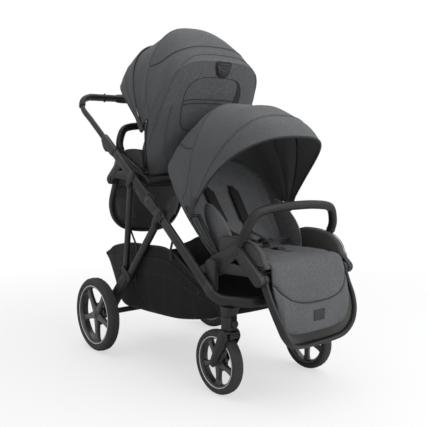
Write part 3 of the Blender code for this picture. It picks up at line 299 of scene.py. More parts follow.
def melange_weave(name, colour, sewn=True, contrast=0.24):
    """Woven polyester from light and dark yarns: soft, matt and speckled along both threads."""
    material, tree, shader = start_finish(name, colour, 0.92, Sheen_Weight=0.22, Sheen_Roughness=0.55,
                                          Specular_IOR_Level=0.25)
    shader.inputs["Sheen Tint"].default_value = shade(colour, 2.2)
    place = sewn_place if sewn else object_place
    # Yarns are about 0.4 mm thick and their colour runs for some 5 mm, drawn three times as coarse.
    warp = add_node(tree, "ShaderNodeTexNoise", {"Vector": place(tree, (1.0, 0.22, 0.6)),
                                                 "Scale": per_metre(2.4), "Detail": 3.0})
    weft = add_node(tree, "ShaderNodeTexNoise", {"Vector": place(tree, (0.22, 1.0, 1.0)),
                                                 "Scale": per_metre(2.4), "Detail": 3.0})
    yarns = add_node(tree, "ShaderNodeMath", {0: warp.outputs["Fac"], 1: weft.outputs["Fac"]},
                     operation="ADD")
    half = add_node(tree, "ShaderNodeMath", {0: yarns.outputs["Value"], 1: 0.5}, operation="MULTIPLY")
    speckle = vary(tree, half.outputs["Value"], shade(colour, 1 - contrast), shade(colour, 1 + contrast),
                   (0.38, 0.62))
    fade = add_node(tree, "ShaderNodeTexNoise", {"Vector": object_place(tree), "Scale": per_metre(120.0),
                                                 "Detail": 2.0})
    tone = vary(tree, fade.outputs["Fac"], (0.93, 0.93, 0.93, 1.0), (1.04, 1.04, 1.04, 1.0))
    cloth = add_node(tree, "ShaderNodeMix", {"Factor": 1.0, "A": speckle, "B": tone}, data_type="RGBA",
                     blend_type="MULTIPLY")
    tree.links.new(cloth.outputs["Result"], shader.inputs["Base Color"])
    crease = add_node(tree, "ShaderNodeTexNoise", {"Vector": object_place(tree), "Scale": per_metre(70.0),
                                                   "Detail": 2.0, "Distortion": 0.8})
    weave = add_node(tree, "ShaderNodeBump", {"Height": half.outputs["Value"], "Distance": 0.00035})
    soft = add_node(tree, "ShaderNodeBump", {"Height": crease.outputs["Fac"], "Distance": 0.0048,
                                             "Strength": 0.5, "Normal": weave.outputs["Normal"]})
    tree.links.new(soft.outputs["Normal"], shader.inputs["Normal"])
    return material


def ribbed_weave(name, colour, rib_mm, roughness=0.82, sewn=True, direction="X"):
    """Webbing or tape: ribs across its length with a dull nylon lustre, painted lighter on their tops as
    highlight and darker between them as shade.
    """
    material, tree, shader = start_finish(name, colour, roughness, Sheen_Weight=0.08, Sheen_Roughness=0.4)
    place = sewn_place(tree) if sewn else object_place(tree)
    ribs = add_node(tree, "ShaderNodeTexWave", {"Vector": place, "Scale": per_metre(rib_mm) / 6.283,
                                                "Distortion": 0.4, "Detail": 1.0},
                    bands_direction=direction)
    fuzz = add_node(tree, "ShaderNodeTexNoise", {"Vector": place, "Scale": per_metre(1.5), "Detail": 3.0})
    # The base colour follows the ribs: painted highlight on their tops, painted shade in the grooves
    # between them.
    drive(shader, "Base Color", ribs.outputs["Fac"], shade(colour, 0.7), shade(colour, 1.35), (0.2, 0.8))
    drive(shader, "Roughness", fuzz.outputs["Fac"], roughness - 0.08, roughness + 0.08)
    raise_surface(tree, shader, ribs.outputs["Fac"], 0.0003)
    return material


def coated_cloth(name, colour):
    """Coated oxford cloth: thin, slightly shiny and full of soft buckles, painted lighter on their crowns
    and darker in their hollows as light and shade.
    """
    material, tree, shader = start_finish(name, colour, 0.66, Sheen_Weight=0.02, Sheen_Roughness=0.5,
                                          Specular_IOR_Level=0.15)
    place = object_place(tree)
    weave = add_node(tree, "ShaderNodeTexNoise", {"Vector": place, "Scale": per_metre(2.2), "Detail": 2.0})
    buckle = add_node(tree, "ShaderNodeTexNoise", {"Vector": object_place(tree, (1.0, 1.0, 0.45)),
                                                   "Scale": per_metre(75.0), "Detail": 3.0,
                                                   "Distortion": 0.6})
    # The base colour follows the buckles' height: painted highlight on the crowns, painted shade in the
    # hollows.
    drive(shader, "Base Color", buckle.outputs["Fac"], shade(colour, 0.75), shade(colour, 1.35))
    drive(shader, "Roughness", weave.outputs["Fac"], 0.55, 0.7)
    fine = add_node(tree, "ShaderNodeBump", {"Height": weave.outputs["Fac"], "Distance": 0.0002})
    soft = add_node(tree, "ShaderNodeBump", {"Height": buckle.outputs["Fac"], "Distance": 0.01,
                                             "Strength": 0.6, "Normal": fine.outputs["Normal"]})
    tree.links.new(soft.outputs["Normal"], shader.inputs["Normal"])
    return material


def knitted_net(name, colour):
    """Open knitted net over a dark lining: rows of small holes."""
    material, tree, shader = start_finish(name, colour, 0.85, Sheen_Weight=0.1)
    # Holes stand 2 mm apart on such a net, drawn at 6 mm.
    holes = add_node(tree, "ShaderNodeTexVoronoi", {"Vector": sewn_place(tree), "Scale": per_metre(6.0),
                                                    "Randomness": 0.15})
    drive(shader, "Base Color", holes.outputs["Distance"], shade(colour, 0.35), shade(colour, 1.2),
          (0.25, 0.45))
    raise_surface(tree, shader, holes.outputs["Distance"], 0.0006)
    return material


def grained_leatherette(name, colour):
    """Embossed leatherette: a pebbled grain with a low sheen that breaks in its creases."""
    material, tree, shader = start_finish(name, colour, 0.48, Specular_IOR_Level=0.3)
    place = object_place(tree)
    # Pebbles are about 1 mm across, drawn at 2.2 mm.
    pebbles = add_node(tree, "ShaderNodeTexVoronoi", {"Vector": place, "Scale": per_metre(2.2)},
                       feature="SMOOTH_F1")
    tint = add_node(tree, "ShaderNodeTexNoise", {"Vector": place, "Scale": per_metre(30.0), "Detail": 4.0})
    drive(shader, "Base Color", tint.outputs["Fac"], shade(colour, 0.8), shade(colour, 1.25))
    drive(shader, "Roughness", pebbles.outputs["Distance"], 0.4, 0.58, (0.1, 0.6))
    raise_surface(tree, shader, pebbles.outputs["Distance"], -0.0004)
    return material


def studio_floor(name, colour):
    """Pale matt studio floor. The camera sees it half lit, and as plain white far from the stroller."""
    material, tree, shader = start_finish(name, colour, 0.9, Specular_IOR_Level=0.1)
    place = add_node(tree, "ShaderNodeTexCoord").outputs["Object"]
    reach = add_node(tree, "ShaderNodeVectorMath", {0: place}, operation="LENGTH").outputs["Value"]
    far = add_node(tree, "ShaderNodeMapRange", {"Value": reach, "From Min": 0.8, "From Max": 2.4,
                                                    "To Min": 0.62},
                   interpolation_type="SMOOTHSTEP").outputs["Result"]
    seen = add_node(tree, "ShaderNodeLightPath").outputs["Is Camera Ray"]
    fade = add_node(tree, "ShaderNodeMath", {0: far, 1: seen}, operation="MULTIPLY").outputs["Value"]
    grain = add_node(tree, "ShaderNodeTexNoise", {"Vector": place, "Scale": per_metre(400.0),
                                                  "Detail": 2.0})
    drive(shader, "Base Color", grain.outputs["Fac"], shade(colour, 0.985), shade(colour, 1.0))
    white = add_node(tree, "ShaderNodeEmission", {"Color": WHITE, "Strength": 1.0})
    both = add_node(tree, "ShaderNodeMixShader", {0: fade, 1: shader.outputs["BSDF"],
                                                  2: white.outputs["Emission"]})
    tree.links.new(both.outputs["Shader"], tree.nodes["Material Output"].inputs["Surface"])
    return material


FINISHES = {}


def make_finishes(colours):
    FINISHES.update({
        "frame": painted_tube("powder_coated_aluminium", colours.frame),
        "moulding": grained_nylon("grained_nylon", colours.moulding),
        "rim": polished_rim("moulded_wheel_abs", colours.rim),
        "ring": bright_metal("silver_hot_foil", colours.ring, 0.26, 3.0),
        "tyre": tyre_rubber("tyre_rubber", colours.tyre),
        "canopy": melange_weave("melange_canopy_polyester", colours.canopy),
        "cushion": melange_weave("melange_cushion_polyester", colours.cushion, False, 0.2),
        "back_pad": melange_weave("melange_back_polyester", colours.back_pad, False, 0.18),
        "lining": melange_weave("plain_lining_polyester", colours.lining, True, 0.1),
        "net": knitted_net("knitted_polyester_net", colours.net),
        "webbing": ribbed_weave("polyester_webbing", colours.webbing, 3.0),
        "basket": coated_cloth("coated_oxford_polyester", colours.basket),
        "leatherette": grained_leatherette("embossed_leatherette", colours.leatherette),
        "piping": ribbed_weave("grosgrain_piping", colours.piping, 2.5, sewn=False, direction="DIAGONAL"),
        "thread": ribbed_weave("twisted_polyester_thread", colours.thread, 1.0, 0.7, False, "DIAGONAL"),
        "steel": bright_metal("blackened_zinc", colours.steel, 0.46, 1.5),
        "patch": grained_nylon("soft_rubber_patch", colours.patch, 0.6, 2.0),
        "floor": studio_floor("pale_studio_floor", colours.floor),
    })


# Shapes

def mix(a, b, t):
    return a + (b - a) * t


def side_point(origin, angle, along, across=0.0):
    """A side-view point: along the slope angle from origin, then across it, to its left."""
    return (origin[0] + along * cos(angle) - across * sin(angle),
            origin[1] + along * sin(angle) + across * cos(angle))


def smooth_path(points, per=6):
    """Catmull-Rom curve through the points, with per steps in each span."""
    ends = [2 * points[0] - points[1]] + list(points) + [2 * points[-1] - points[-2]]
    path = []
    for i in range(1, len(ends) - 2):
        p0, p1, p2, p3 = ends[i - 1:i + 3]
        for step in range(per):
            t = step / per
            path.append(0.5 * (2 * p1 + (p2 - p0) * t + (2 * p0 - 5 * p1 + 4 * p2 - p3) * t * t
                               + (3 * p1 - p0 - 3 * p2 + p3) * t ** 3))
    path.append(points[-1].copy())
    return path


def smooth_bow(half, per=6):
    """A smooth bow from one side to the other, from the points of one half, which ends on x = 0."""
    return smooth_path(half + [Vector((-p.x, p.y, p.z)) for p in reversed(half[:-1])], per)


def rounded_section(wide, deep, sides, power):
    pairs = []
    for i in range(sides):
        a = 2 * pi * (i + 0.5) / sides
        c, s = cos(a), sin(a)
        pairs.append((copysign(abs(c) ** (2 / power), c) * wide / 2,
                      copysign(abs(s) ** (2 / power), s) * deep / 2))
    return pairs


def skin(bm, rings, finish=0, ends=True):
    """Joins closed rings of points into a wall, with both ends shut, and lays cloth coordinates on it."""
    cloth = bm.loops.layers.uv.get("cloth") or bm.loops.layers.uv.new("cloth")
    rows = [[bm.verts.new(p) for p in ring] for ring in rings]
    count = len(rows[0])
    girth = sum((rings[0][i] - rings[0][i - 1]).length for i in range(count))
    along = 0.0
    for n in range(len(rows) - 1):
        step = sum((p - q).length for p, q in zip(rings[n], rings[n + 1])) / count
        for i in range(count):
            j = (i + 1) % count
            face = bm.faces.new((rows[n][i], rows[n][j], rows[n + 1][j], rows[n + 1][i]))
            face.material_index = finish
            corners = ((along, i), (along, i + 1), (along + step, i + 1), (along + step, i))
            for loop, (a, c) in zip(face.loops, corners):
                loop[cloth].uv = (a, girth * c / count)
        along += step
    if ends:
        for row in (list(reversed(rows[0])), rows[-1]):
            bm.faces.new(row).material_index = finish


def end_rings(ring, centre, inward, edge, radius):
    """A tube's end ring, drawn in twice so that its rim is rounded."""
    rounded = []
    for share, back in ((1.0, 0.0), (0.3, 0.3), (0.0, 1.0)):
        shrink = 1 - share * edge / radius
        rounded.append([centre + (p - centre) * shrink + inward * edge * back for p in ring])
    return rounded


def tube(bm, path, wide, deep, sides=24, across=(1, 0, 0), scale=None, power=2.6, edge=0.0015, finish=0):
    """A tube along the path. wide lies along across at the start, deep stands square to it."""
    side = Vector(across)
    rings = []
    for i, point in enumerate(path):
        ahead = (path[min(i + 1, len(path) - 1)] - path[max(i - 1, 0)]).normalized()
        side = (side - ahead * side.dot(ahead)).normalized()
        up = ahead.cross(side)
        grow = scale(i / (len(path) - 1)) if scale else 1.0
        rings.append([point + grow * (side * a + up * b)
                      for a, b in rounded_section(wide, deep, sides, power)])
    radius = min(wide, deep) / 2
    edge = min(edge, radius * 0.6)
    first = end_rings(rings[0], path[0], (path[1] - path[0]).normalized(), edge, radius)
    last = end_rings(rings[-1], path[-1], (path[-2] - path[-1]).normalized(), edge, radius)
    skin(bm, first + rings[1:-1] + list(reversed(last)), finish)


def outline_inset(outline, inset):
    """The outline drawn in by inset. It runs anticlockwise."""
    drawn = []
    count = len(outline)
    for i in range(count):
        (py, pz), (y, z), (ny, nz) = outline[i - 1], outline[i], outline[(i + 1) % count]
        back = Vector((y - py, z - pz)).normalized()
        on = Vector((ny - y, nz - z)).normalized()
        middle = Vector((-back.y - on.y, back.x + on.x))
        middle = middle.normalized() if middle.length > 1e-9 else Vector((0.0, 0.0))
        drawn.append((y + middle.x * inset, z + middle.y * inset))
    return drawn


def block(bm, outline, low, high, edge=0.0015, axis="X", finish=0):
    """An outline made solid along an axis from low to high, with rounded rims."""
    area = sum(outline[i - 1][0] * outline[i][1] - outline[i][0] * outline[i - 1][1]
               for i in range(len(outline)))
    outline = outline if area > 0 else list(reversed(outline))
    low, high = min(low, high), max(low, high)
    edge = min(edge, (high - low) * 0.45)
    turn = {"X": lambda a, b, t: Vector((t, a, b)), "Y": lambda a, b, t: Vector((a, t, b)),
            "Z": lambda a, b, t: Vector((a, b, t))}[axis]
    rings = []
    for at, inset in ((low, 1.0), (low + 0.3 * edge, 0.3), (low + edge, 0.0),
                      (high - edge, 0.0), (high - 0.3 * edge, 0.3), (high, 1.0)):
        rings.append([turn(a, b, at) for a, b in outline_inset(outline, inset * edge)])
    skin(bm, rings, finish)


def circle(y, z, radius, steps=40, start=0.0, stop=2 * pi):
    closed = abs(stop - start - 2 * pi) < 1e-6
    last = steps if closed else steps - 1
    return [(y + radius * cos(start + (stop - start) * i / last),
             z + radius * sin(start + (stop - start) * i / last)) for i in range(steps)]


def capsule(p, q, rp, rq, steps=16):
    """Outline round two circles, in the side view."""
    a = atan2(q[1] - p[1], q[0] - p[0])
    reach = hypot(q[0] - p[0], q[1] - p[1])
    lean = acos(max(-1.0, min(1.0, (rp - rq) / reach)))
    return (circle(q[0], q[1], rq, steps, a - lean, a + lean)
            + circle(p[0], p[1], rp, steps, a + lean, a + 2 * pi - lean))


def rounded_box(a0, b0, a1, b1, corner, steps=6):
    """Outline of a rectangle with round corners."""
    points = []
    for ca, cb, start in ((a1 - corner, b1 - corner, 0.0), (a0 + corner, b1 - corner, 0.5),
                          (a0 + corner, b0 + corner, 1.0), (a1 - corner, b0 + corner, 1.5)):
        points += circle(ca, cb, corner, steps, start * pi, (start + 0.5) * pi)
    return points


def turned_ring(bm, profile, steps):
    """A ring turned about the X axis, from a closed profile of (radius, x) pairs."""
    rings = []
    for i in range(steps):
        a = 2 * pi * (i + 0.5) / steps
        rings.append([Vector((x, r * sin(a), -r * cos(a))) for r, x in profile])
    skin(bm, rings + [rings[0]], ends=False)
    bmesh.ops.remove_doubles(bm, verts=bm.verts, dist=1e-6)


def span(sign, inner, outer):
    """An x range on one side, given by its distances from the middle."""
    return (inner, outer) if sign > 0 else (-outer, -inner)


SIDES = (("right", -1), ("left", 1))
SIGNS = (-1, 1)


def finish_piece(name, shape, finishes, body, stands_for=(), place=None, smooth=35.0):
    """Makes the shape a piece that rides on its body, when that is given by name, and replaces its CAD
    nodes. A body given by bend only has the piece's place baked in.
    """
    move = Matrix.Translation((0, CENTRED, 0)) @ (place or Matrix.Identity(4))
    if isinstance(shape, bmesh.types.BMesh):
        bmesh.ops.recalc_face_normals(shape, faces=shape.faces)
        mesh = bpy.data.meshes.new(name)
        shape.to_mesh(mesh)
        shape.free()
    else:
        mesh = shape
        mesh.name = name
    mesh.transform(move)
    mesh.materials.clear()
    for finish in finishes:
        mesh.materials.append(FINISHES[finish])
    mesh.shade_smooth()
    mesh.set_sharp_from_angle(angle=radians(smooth))
    free = name if name not in bpy.data.objects else f"{name}_dressed"
    piece = bpy.data.objects.new(free, mesh)
    bpy.context.collection.objects.link(piece)
    if isinstance(body, str):
        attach(piece, body)
    else:
        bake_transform(piece)
    if stands_for:
        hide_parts(*stands_for)
    return piece


def own_piece(name, shape, finishes, body, place=None, smooth=35.0):
    """A piece that stands for the CAD node of its own name."""
    return finish_piece(name, shape, finishes, body, [name], place, smooth)


# Repeats, made with Geometry Nodes

def start_tree(name, sizes):
    """An empty geometry tree with a shape, its named sizes and a material as inputs."""
    tree = bpy.data.node_groups.new(name, "GeometryNodeTree")
    tree.interface.new_socket("Geometry", in_out="INPUT", socket_type="NodeSocketGeometry")
    for size, default in sizes.items():
        kind = "NodeSocketInt" if isinstance(default, int) else "NodeSocketFloat"
        tree.interface.new_socket(size, in_out="INPUT", socket_type=kind).default_value = default
    tree.interface.new_socket("Material", in_out="INPUT", socket_type="NodeSocketMaterial")
    tree.interface.new_socket("Geometry", in_out="OUTPUT", socket_type="NodeSocketGeometry")
    return tree, add_node(tree, "NodeGroupInput").outputs


def end_tree(tree, geometry, given):
    real = add_node(tree, "GeometryNodeRealizeInstances", {"Geometry": geometry})
    smooth = add_node(tree, "GeometryNodeSetShadeSmooth", {"Geometry": real.outputs["Geometry"]})
    painted = add_node(tree, "GeometryNodeSetMaterial", {"Geometry": smooth.outputs["Geometry"],
                                                         "Material": given["Material"]})
    add_node(tree, "NodeGroupOutput", {"Geometry": painted.outputs["Geometry"]})
    return tree


def stitch_tree():
    """Stitches along every line of the shape it is given."""
    tree, given = start_tree("stitches_along_seams", {"Pitch": 0.005, "Length": 0.0035, "Thickness": 0.001})
    seam = add_node(tree, "GeometryNodeMeshToCurve", {"Mesh": given["Geometry"]})
    holes = add_node(tree, "GeometryNodeResampleCurve", {"Curve": seam.outputs["Curve"],
                                                         "Length": given["Pitch"]}, mode="LENGTH")
    ahead = add_node(tree, "GeometryNodeInputTangent").outputs["Tangent"]
    turn = add_node(tree, "FunctionNodeAlignRotationToVector", {"Vector": ahead}, axis="X")
    bead = add_node(tree, "GeometryNodeMeshUVSphere", {"Segments": 8, "Rings": 6, "Radius": 0.5})
    size = add_node(tree, "ShaderNodeCombineXYZ", {"X": given["Length"], "Y": given["Thickness"],
                                                   "Z": given["Thickness"]})
    sewn = add_node(tree, "GeometryNodeInstanceOnPoints", {
        "Points": holes.outputs["Curve"], "Instance": bead.outputs["Mesh"],
        "Rotation": turn.outputs["Rotation"], "Scale": size.outputs["Vector"]})
    return end_tree(tree, sewn.outputs["Instances"], given)


def axle_tree():
    """Copies of one spoke or tread block, set evenly round the X axis."""
    tree, given = start_tree("copies_round_axle", {"Count": 5, "Start": 0.0})
    hub = add_node(tree, "GeometryNodeMeshLine", {"Count": given["Count"], "Offset": (0.0, 0.0, 0.0)})
    index = add_node(tree, "GeometryNodeInputIndex").outputs["Index"]
    share = add_node(tree, "ShaderNodeMath", {0: index, 1: given["Count"]}, operation="DIVIDE")
    angle = add_node(tree, "ShaderNodeMath", {0: share.outputs["Value"], 1: 2 * pi, 2: given["Start"]},
                     operation="MULTIPLY_ADD")
    turn = add_node(tree, "ShaderNodeCombineXYZ", {"X": angle.outputs["Value"]})
    copies = add_node(tree, "GeometryNodeInstanceOnPoints", {
        "Points": hub.outputs["Mesh"], "Instance": given["Geometry"], "Rotation": turn.outputs["Vector"]})
    return end_tree(tree, copies.outputs["Instances"], given)


def rivet_tree():
    """A domed rivet head on each point, facing along X."""
    tree, given = start_tree("rivets_on_points", {"Radius": 0.004, "Height": 0.003})
    dome = add_node(tree, "GeometryNodeMeshUVSphere", {"Segments": 16, "Rings": 10, "Radius": 1.0})
    size = add_node(tree, "ShaderNodeCombineXYZ", {"X": given["Height"], "Y": given["Radius"],
                                                   "Z": given["Radius"]})
    heads = add_node(tree, "GeometryNodeInstanceOnPoints", {
        "Points": given["Geometry"], "Instance": dome.outputs["Mesh"], "Scale": size.outputs["Vector"]})
    return end_tree(tree, heads.outputs["Instances"], given)


TREES = {}


def grow(kind, shape, finish, **sizes):
    """Runs one of the trees on a shape and returns the plain mesh that it makes."""
    makers = {"stitches": stitch_tree, "axle": axle_tree, "rivets": rivet_tree}
    if kind not in TREES:
        TREES[kind] = makers[kind]()
    tree = TREES[kind]
    mesh = bpy.data.meshes.new("seed")
    shape.to_mesh(mesh)
    shape.free()
    seed = bpy.data.objects.new("seed", mesh)
    bpy.context.collection.objects.link(seed)
    modifier = seed.modifiers.new(kind, "NODES")
    modifier.node_group = tree
    for item in tree.interface.items_tree:
        if item.in_out == "INPUT" and item.name in sizes:
            modifier[item.identifier] = sizes[item.name]
        elif item.in_out == "INPUT" and item.name == "Material":
            modifier[item.identifier] = FINISHES[finish]
    bpy.context.view_layer.update()
    ready = seed.evaluated_get(bpy.context.evaluated_depsgraph_get())
    made = bpy.data.meshes.new_from_object(ready)
    bpy.data.objects.remove(seed, do_unlink=True)
    return made


def lines(paths):
    """Open paths as bare edges, for the stitch tree."""
    bm = bmesh.new()
    for path in paths:
        verts = [bm.verts.new(p) for p in path]
        for a, b in zip(verts, verts[1:]):
            bm.edges.new((a, b))
    return bm


def dots(points):
    """Bare points, for the rivet tree."""
    bm = bmesh.new()
    for point in points:
        bm.verts.new(point)
    return bm


def stitch(name, paths, body, place=None):
    """Rows of stitches along the paths, as one piece."""
    sizes = bpy.context.scene.stroller_sizes
    mesh = grow("stitches", lines(paths), "thread", Pitch=sizes.stitch_pitch, Length=sizes.stitch_long,
                Thickness=sizes.thread)
    return finish_piece(name, mesh, ["thread"], body, place=place, smooth=60.0)


def rivet(name, points, radius, height, body, place=None):
    mesh = grow("rivets", dots(points), "steel", Radius=radius, Height=height)
    return finish_piece(name, mesh, ["steel"], body, place=place, smooth=60.0)


# Side-view places of the chassis

def on_upper(along, drop=0.0):
    return side_point(FOLD_AXIS, UPPER_SLOPE, along, -drop)


def on_lower(along, drop=0.0):
    """A point down the lower tube, counted from the fold axis."""
    return side_point(FOLD_AXIS, pi + LOWER_SLOPE, along, drop)


LEG_PIVOT = on_lower(0.0772, 0.036)


def on_leg(along, rise=0.0):
    return side_point(LEG_PIVOT, -LEG_SLOPE, along, rise)


STRUT_TOP = on_upper(0.141, 0.034)
STRUT_FOOT = on_leg(0.285, 0.034)


def side_path(x, points):
    return [Vector((x, y, z)) for y, z in points]


def seat_point(seat, local):
    """Side-view place of a seat's own point."""
    return (seat["at"][0] + seat["facing"] * local[0], seat["at"][1] + local[1])


SEATS = ({"name": "front", "at": (-0.482, 0.401), "facing": 1, "upright": 0.0, "frame": "front_frame"},
         {"name": "rear", "at": (0.392, 0.677), "facing": -1, "upright": radians(10.6),
          "frame": "upper_frame"})


def clevis(bm, sign, pivot, carrier, wide, deep, reach=0.012):
    """Two ears either side of a pivoted end, standing on the tube that carries them."""
    angle = atan2(carrier[1] - pivot[1], carrier[0] - pivot[0])
    base = side_point(carrier, angle, deep / 2 - 0.004)
    inner = TUBE_X - wide / 2 - 0.0003
    outer = TUBE_X + wide / 2 + 0.0003
    for x0, x1 in ((inner - 0.004, inner), (outer, outer + 0.004)):
        block(bm, capsule(pivot, base, reach, reach * 1.3), *span(sign, x0, x1), edge=0.0012)


LAMPS = (
    # name, place, side of the square in metres, watts
    ("key_lamp", (0.9, -3.4, 2.4), 4.4, 122.0), ("side_lamp", (-3.0, -0.9, 2.2), 2.6, 6.0),
    ("top_lamp", (0.3, 0.3, 3.8), 4.0, 92.0),
)
LAMP_AIM = Vector((0, 0, 0.55))
CAMERA_AT, CAMERA_AIM = Vector((-1.5181, -1.9273, 0.7931)), Vector((0.016, -0.0056, 0.5546))
LENS_MM, SENSOR_MM = 55.16, 36.0


class STROLLER_OT_stage(bpy.types.Operator):
    """Sets the floor, the soft lights, the white surroundings and the camera"""
    bl_idname = "stroller.stage"
    bl_label = "Stage"

    def execute(self, context):
        scene = context.scene
        scene.view_settings.view_transform = "Standard"
        self.lay_floor()
        self.surround(scene)
        for name, place, size, power in LAMPS:
            lamp = bpy.data.lights.new(name, "AREA")
            lamp.size = size
            lamp.energy = power
            held = bpy.data.objects.new(name, lamp)
            held.location = place
            held.rotation_euler = (LAMP_AIM - Vector(place)).to_track_quat("-Z", "Y").to_euler()
            context.collection.objects.link(held)
        camera = bpy.data.objects.new("camera", bpy.data.cameras.new("camera"))
        camera.location = CAMERA_AT
        camera.rotation_euler = (CAMERA_AIM - CAMERA_AT).to_track_quat("-Z", "Y").to_euler()
        camera.data.lens = LENS_MM
        camera.data.sensor_width = SENSOR_MM
        context.collection.objects.link(camera)
        scene.camera = camera
        return {"FINISHED"}

    def lay_floor(self):
        bm = bmesh.new()
        bmesh.ops.create_grid(bm, x_segments=8, y_segments=8, size=9.0)
        mesh = bpy.data.meshes.new("studio_floor")
        bm.to_mesh(mesh)
        bm.free()
        mesh.materials.append(FINISHES["floor"])
        floor = bpy.data.objects.new("studio_floor", mesh)
        bpy.context.collection.objects.link(floor)

    def surround(self, scene):
        """A white room: plain white to the camera and in reflections, a softer level as light."""
        world = bpy.data.worlds.new("white_studio")
        scene.world = world
        world.use_nodes = True
        tree = world.node_tree
        tree.nodes.clear()
        rays = add_node(tree, "ShaderNodeLightPath").outputs
        seen = add_node(tree, "ShaderNodeMath", {0: rays["Is Camera Ray"], 1: rays["Is Transmission Ray"]},
                        operation="MAXIMUM")
        mirrored_too = add_node(tree, "ShaderNodeMath",
                                {0: seen.outputs["Value"], 1: rays["Is Glossy Ray"]}, operation="MAXIMUM")
        soft = add_node(tree, "ShaderNodeBackground", {"Color": WHITE, "Strength": 0.33})
        white = add_node(tree, "ShaderNodeBackground", {"Color": WHITE, "Strength": 1.0})
        both = add_node(tree, "ShaderNodeMixShader", {0: mirrored_too.outputs["Value"],
                                                      1: soft.outputs["Background"],
                                                      2: white.outputs["Background"]})
        add_node(tree, "ShaderNodeOutputWorld", {"Surface": both.outputs["Shader"]})


class STROLLER_OT_side_frame(bpy.types.Operator):
    """Builds the side tubes, crossbar, knuckles, rear legs, struts, axle and brake pedal"""
    bl_idname = "stroller.side_frame"
    bl_label = "Side Frame"

    def execute(self, context):
        for side, sign in SIDES:
            self.lower_tube(side, sign)
            self.upper_tube(side, sign)
            self.rear_leg(side, sign)
            self.strut(side, sign)
        self.crossbar()
        self.axle_and_pedal()
        return {"FINISHED"}

    def lower_tube(self, side, sign):
        x = sign * TUBE_X
        bm = bmesh.new()
        tube(bm, side_path(x, (on_lower(0.02), on_lower(LOWER_LONG))), TUBE_WIDE, TUBE_DEEP)
        block(bm, capsule(FOLD_AXIS, on_lower(0.046), 0.0225, 0.0185), *span(sign, TUBE_X + 0.0003, 0.2565),
              edge=0.003)
        tube(bm, side_path(x, (on_lower(0.05), on_lower(0.104))), 0.0306, 0.0395, edge=0.003)
        clevis(bm, sign, LEG_PIVOT, on_lower(0.0772), TUBE_WIDE, TUBE_DEEP)
        own_piece(f"front_tube_{side}", bm, ["frame"], "front_frame")
        hub = seat_point(SEATS[0], RECLINE_AXIS)
        foot = on_lower((FOLD_AXIS[0] - hub[0]) / cos(LOWER_SLOPE) + 0.004)
        bm = bmesh.new()
        block(bm, capsule(hub, foot, 0.025, 0.02), *span(sign, 0.2143, 0.2335), edge=0.003)
        tube(bm, side_path(x, (on_lower(LOWER_LONG - 0.03), on_lower(LOWER_LONG + 0.006))), 0.0252, 0.0385,
             edge=0.0025)
        finish_piece(f"front_tube_mouldings_{side}", bm, ["moulding"], "front_frame")
        out = sign * 0.2572
        rivet(f"front_tube_rivets_{side}", [Vector((out, *FOLD_AXIS)), Vector((sign * 0.259, *LEG_PIVOT)),
                                            Vector((out, *on_lower(0.046)))], 0.0055, 0.0022, "front_frame")

    def upper_tube(self, side, sign):
        x = sign * TUBE_X
        bm = bmesh.new()
        tube(bm, side_path(x, (on_upper(0.02), on_upper(UPPER_LONG))), TUBE_WIDE, TUBE_DEEP)
        block(bm, capsule(FOLD_AXIS, on_upper(0.044), 0.0225, 0.0175), *span(sign, 0.23, TUBE_X - 0.0003),
              edge=0.003)
        clevis(bm, sign, STRUT_TOP, on_upper(0.141), 0.018, TUBE_DEEP)
        latch = [on_upper(0.01, 0.012), on_upper(0.012, 0.033), on_upper(0.052, 0.0345),
                 on_upper(0.06, 0.031), on_upper(0.118, 0.0285), on_upper(0.127, 0.014)]
        block(bm, latch, x - 0.0065, x + 0.0065, edge=0.0015)
        own_piece(f"upper_tube_{side}", bm, ["frame"], "upper_frame")
        bm = bmesh.new()
        tube(bm, side_path(x, (on_upper(0.296), on_upper(0.302), on_upper(0.392), on_upper(0.4))),
             0.0262, 0.039, scale=lambda t: 1.0 if t < 0.9 else 0.97, edge=0.004)
        housing = [on_upper(0.338, 0.014), on_upper(0.341, 0.026), on_upper(0.352, 0.0315),
                   on_upper(0.372, 0.03), on_upper(0.388, 0.0225), on_upper(0.394, 0.014)]
        block(bm, housing, x - 0.0095, x + 0.0095, edge=0.0035)
        hub = seat_point(SEATS[1], RECLINE_AXIS)
        block(bm, circle(*hub, 0.025), *span(sign, 0.2143, 0.2335), edge=0.003)
        for along in (0.262, 0.29):
            tube(bm, side_path(x, (on_upper(along), on_upper(along + 0.003))), 0.0232, 0.0362, edge=0.0008)
        finish_piece(f"upper_tube_mouldings_{side}", bm, ["moulding"], "upper_frame")
        rivet(f"upper_tube_rivets_{side}", [Vector((sign * 0.257, *STRUT_TOP)),
                                            Vector((sign * 0.2495, *on_upper(0.034, 0.0255))),
                                            Vector((sign * 0.2495, *on_upper(0.1, 0.0235)))],
              0.0045, 0.002, "upper_frame")
        bm = bmesh.new()
        pad = [on_upper(0.3135, 0.0172), on_upper(0.3145, 0.0215), on_upper(0.318, 0.0235),
               on_upper(0.33, 0.0235), on_upper(0.3345, 0.0215), on_upper(0.3355, 0.0172)]
        block(bm, pad, x - 0.0058, x + 0.0058, edge=0.0015)
        own_piece(f"height_button_{side}", bm, ["patch"], f"height_button_{side}")

    def crossbar(self):
        half = [Vector((-TUBE_X, *on_lower(LOWER_LONG + 0.01))),
                Vector((-TUBE_X + 0.006, -0.328, CROSSBAR_Z + 0.006)),
                Vector((-TUBE_X + 0.014, CASTER_Y, CROSSBAR_Z)),
                Vector((-CASTER_X + 0.004, CROSSBAR_Y + 0.046, CROSSBAR_Z)),
                Vector((-0.15, CROSSBAR_Y + 0.012, CROSSBAR_Z)), Vector((0, CROSSBAR_Y, CROSSBAR_Z))]
        path = smooth_bow(half, 8)
        start = Vector((-TUBE_X, *on_lower(LOWER_LONG + 0.0003)))
        path = [start] + path + [Vector((-start.x, start.y, start.z))]
        bm = bmesh.new()
        tube(bm, path, TUBE_WIDE, TUBE_DEEP, sides=28)
        own_piece("front_crossbar", bm, ["frame"], "front_frame")

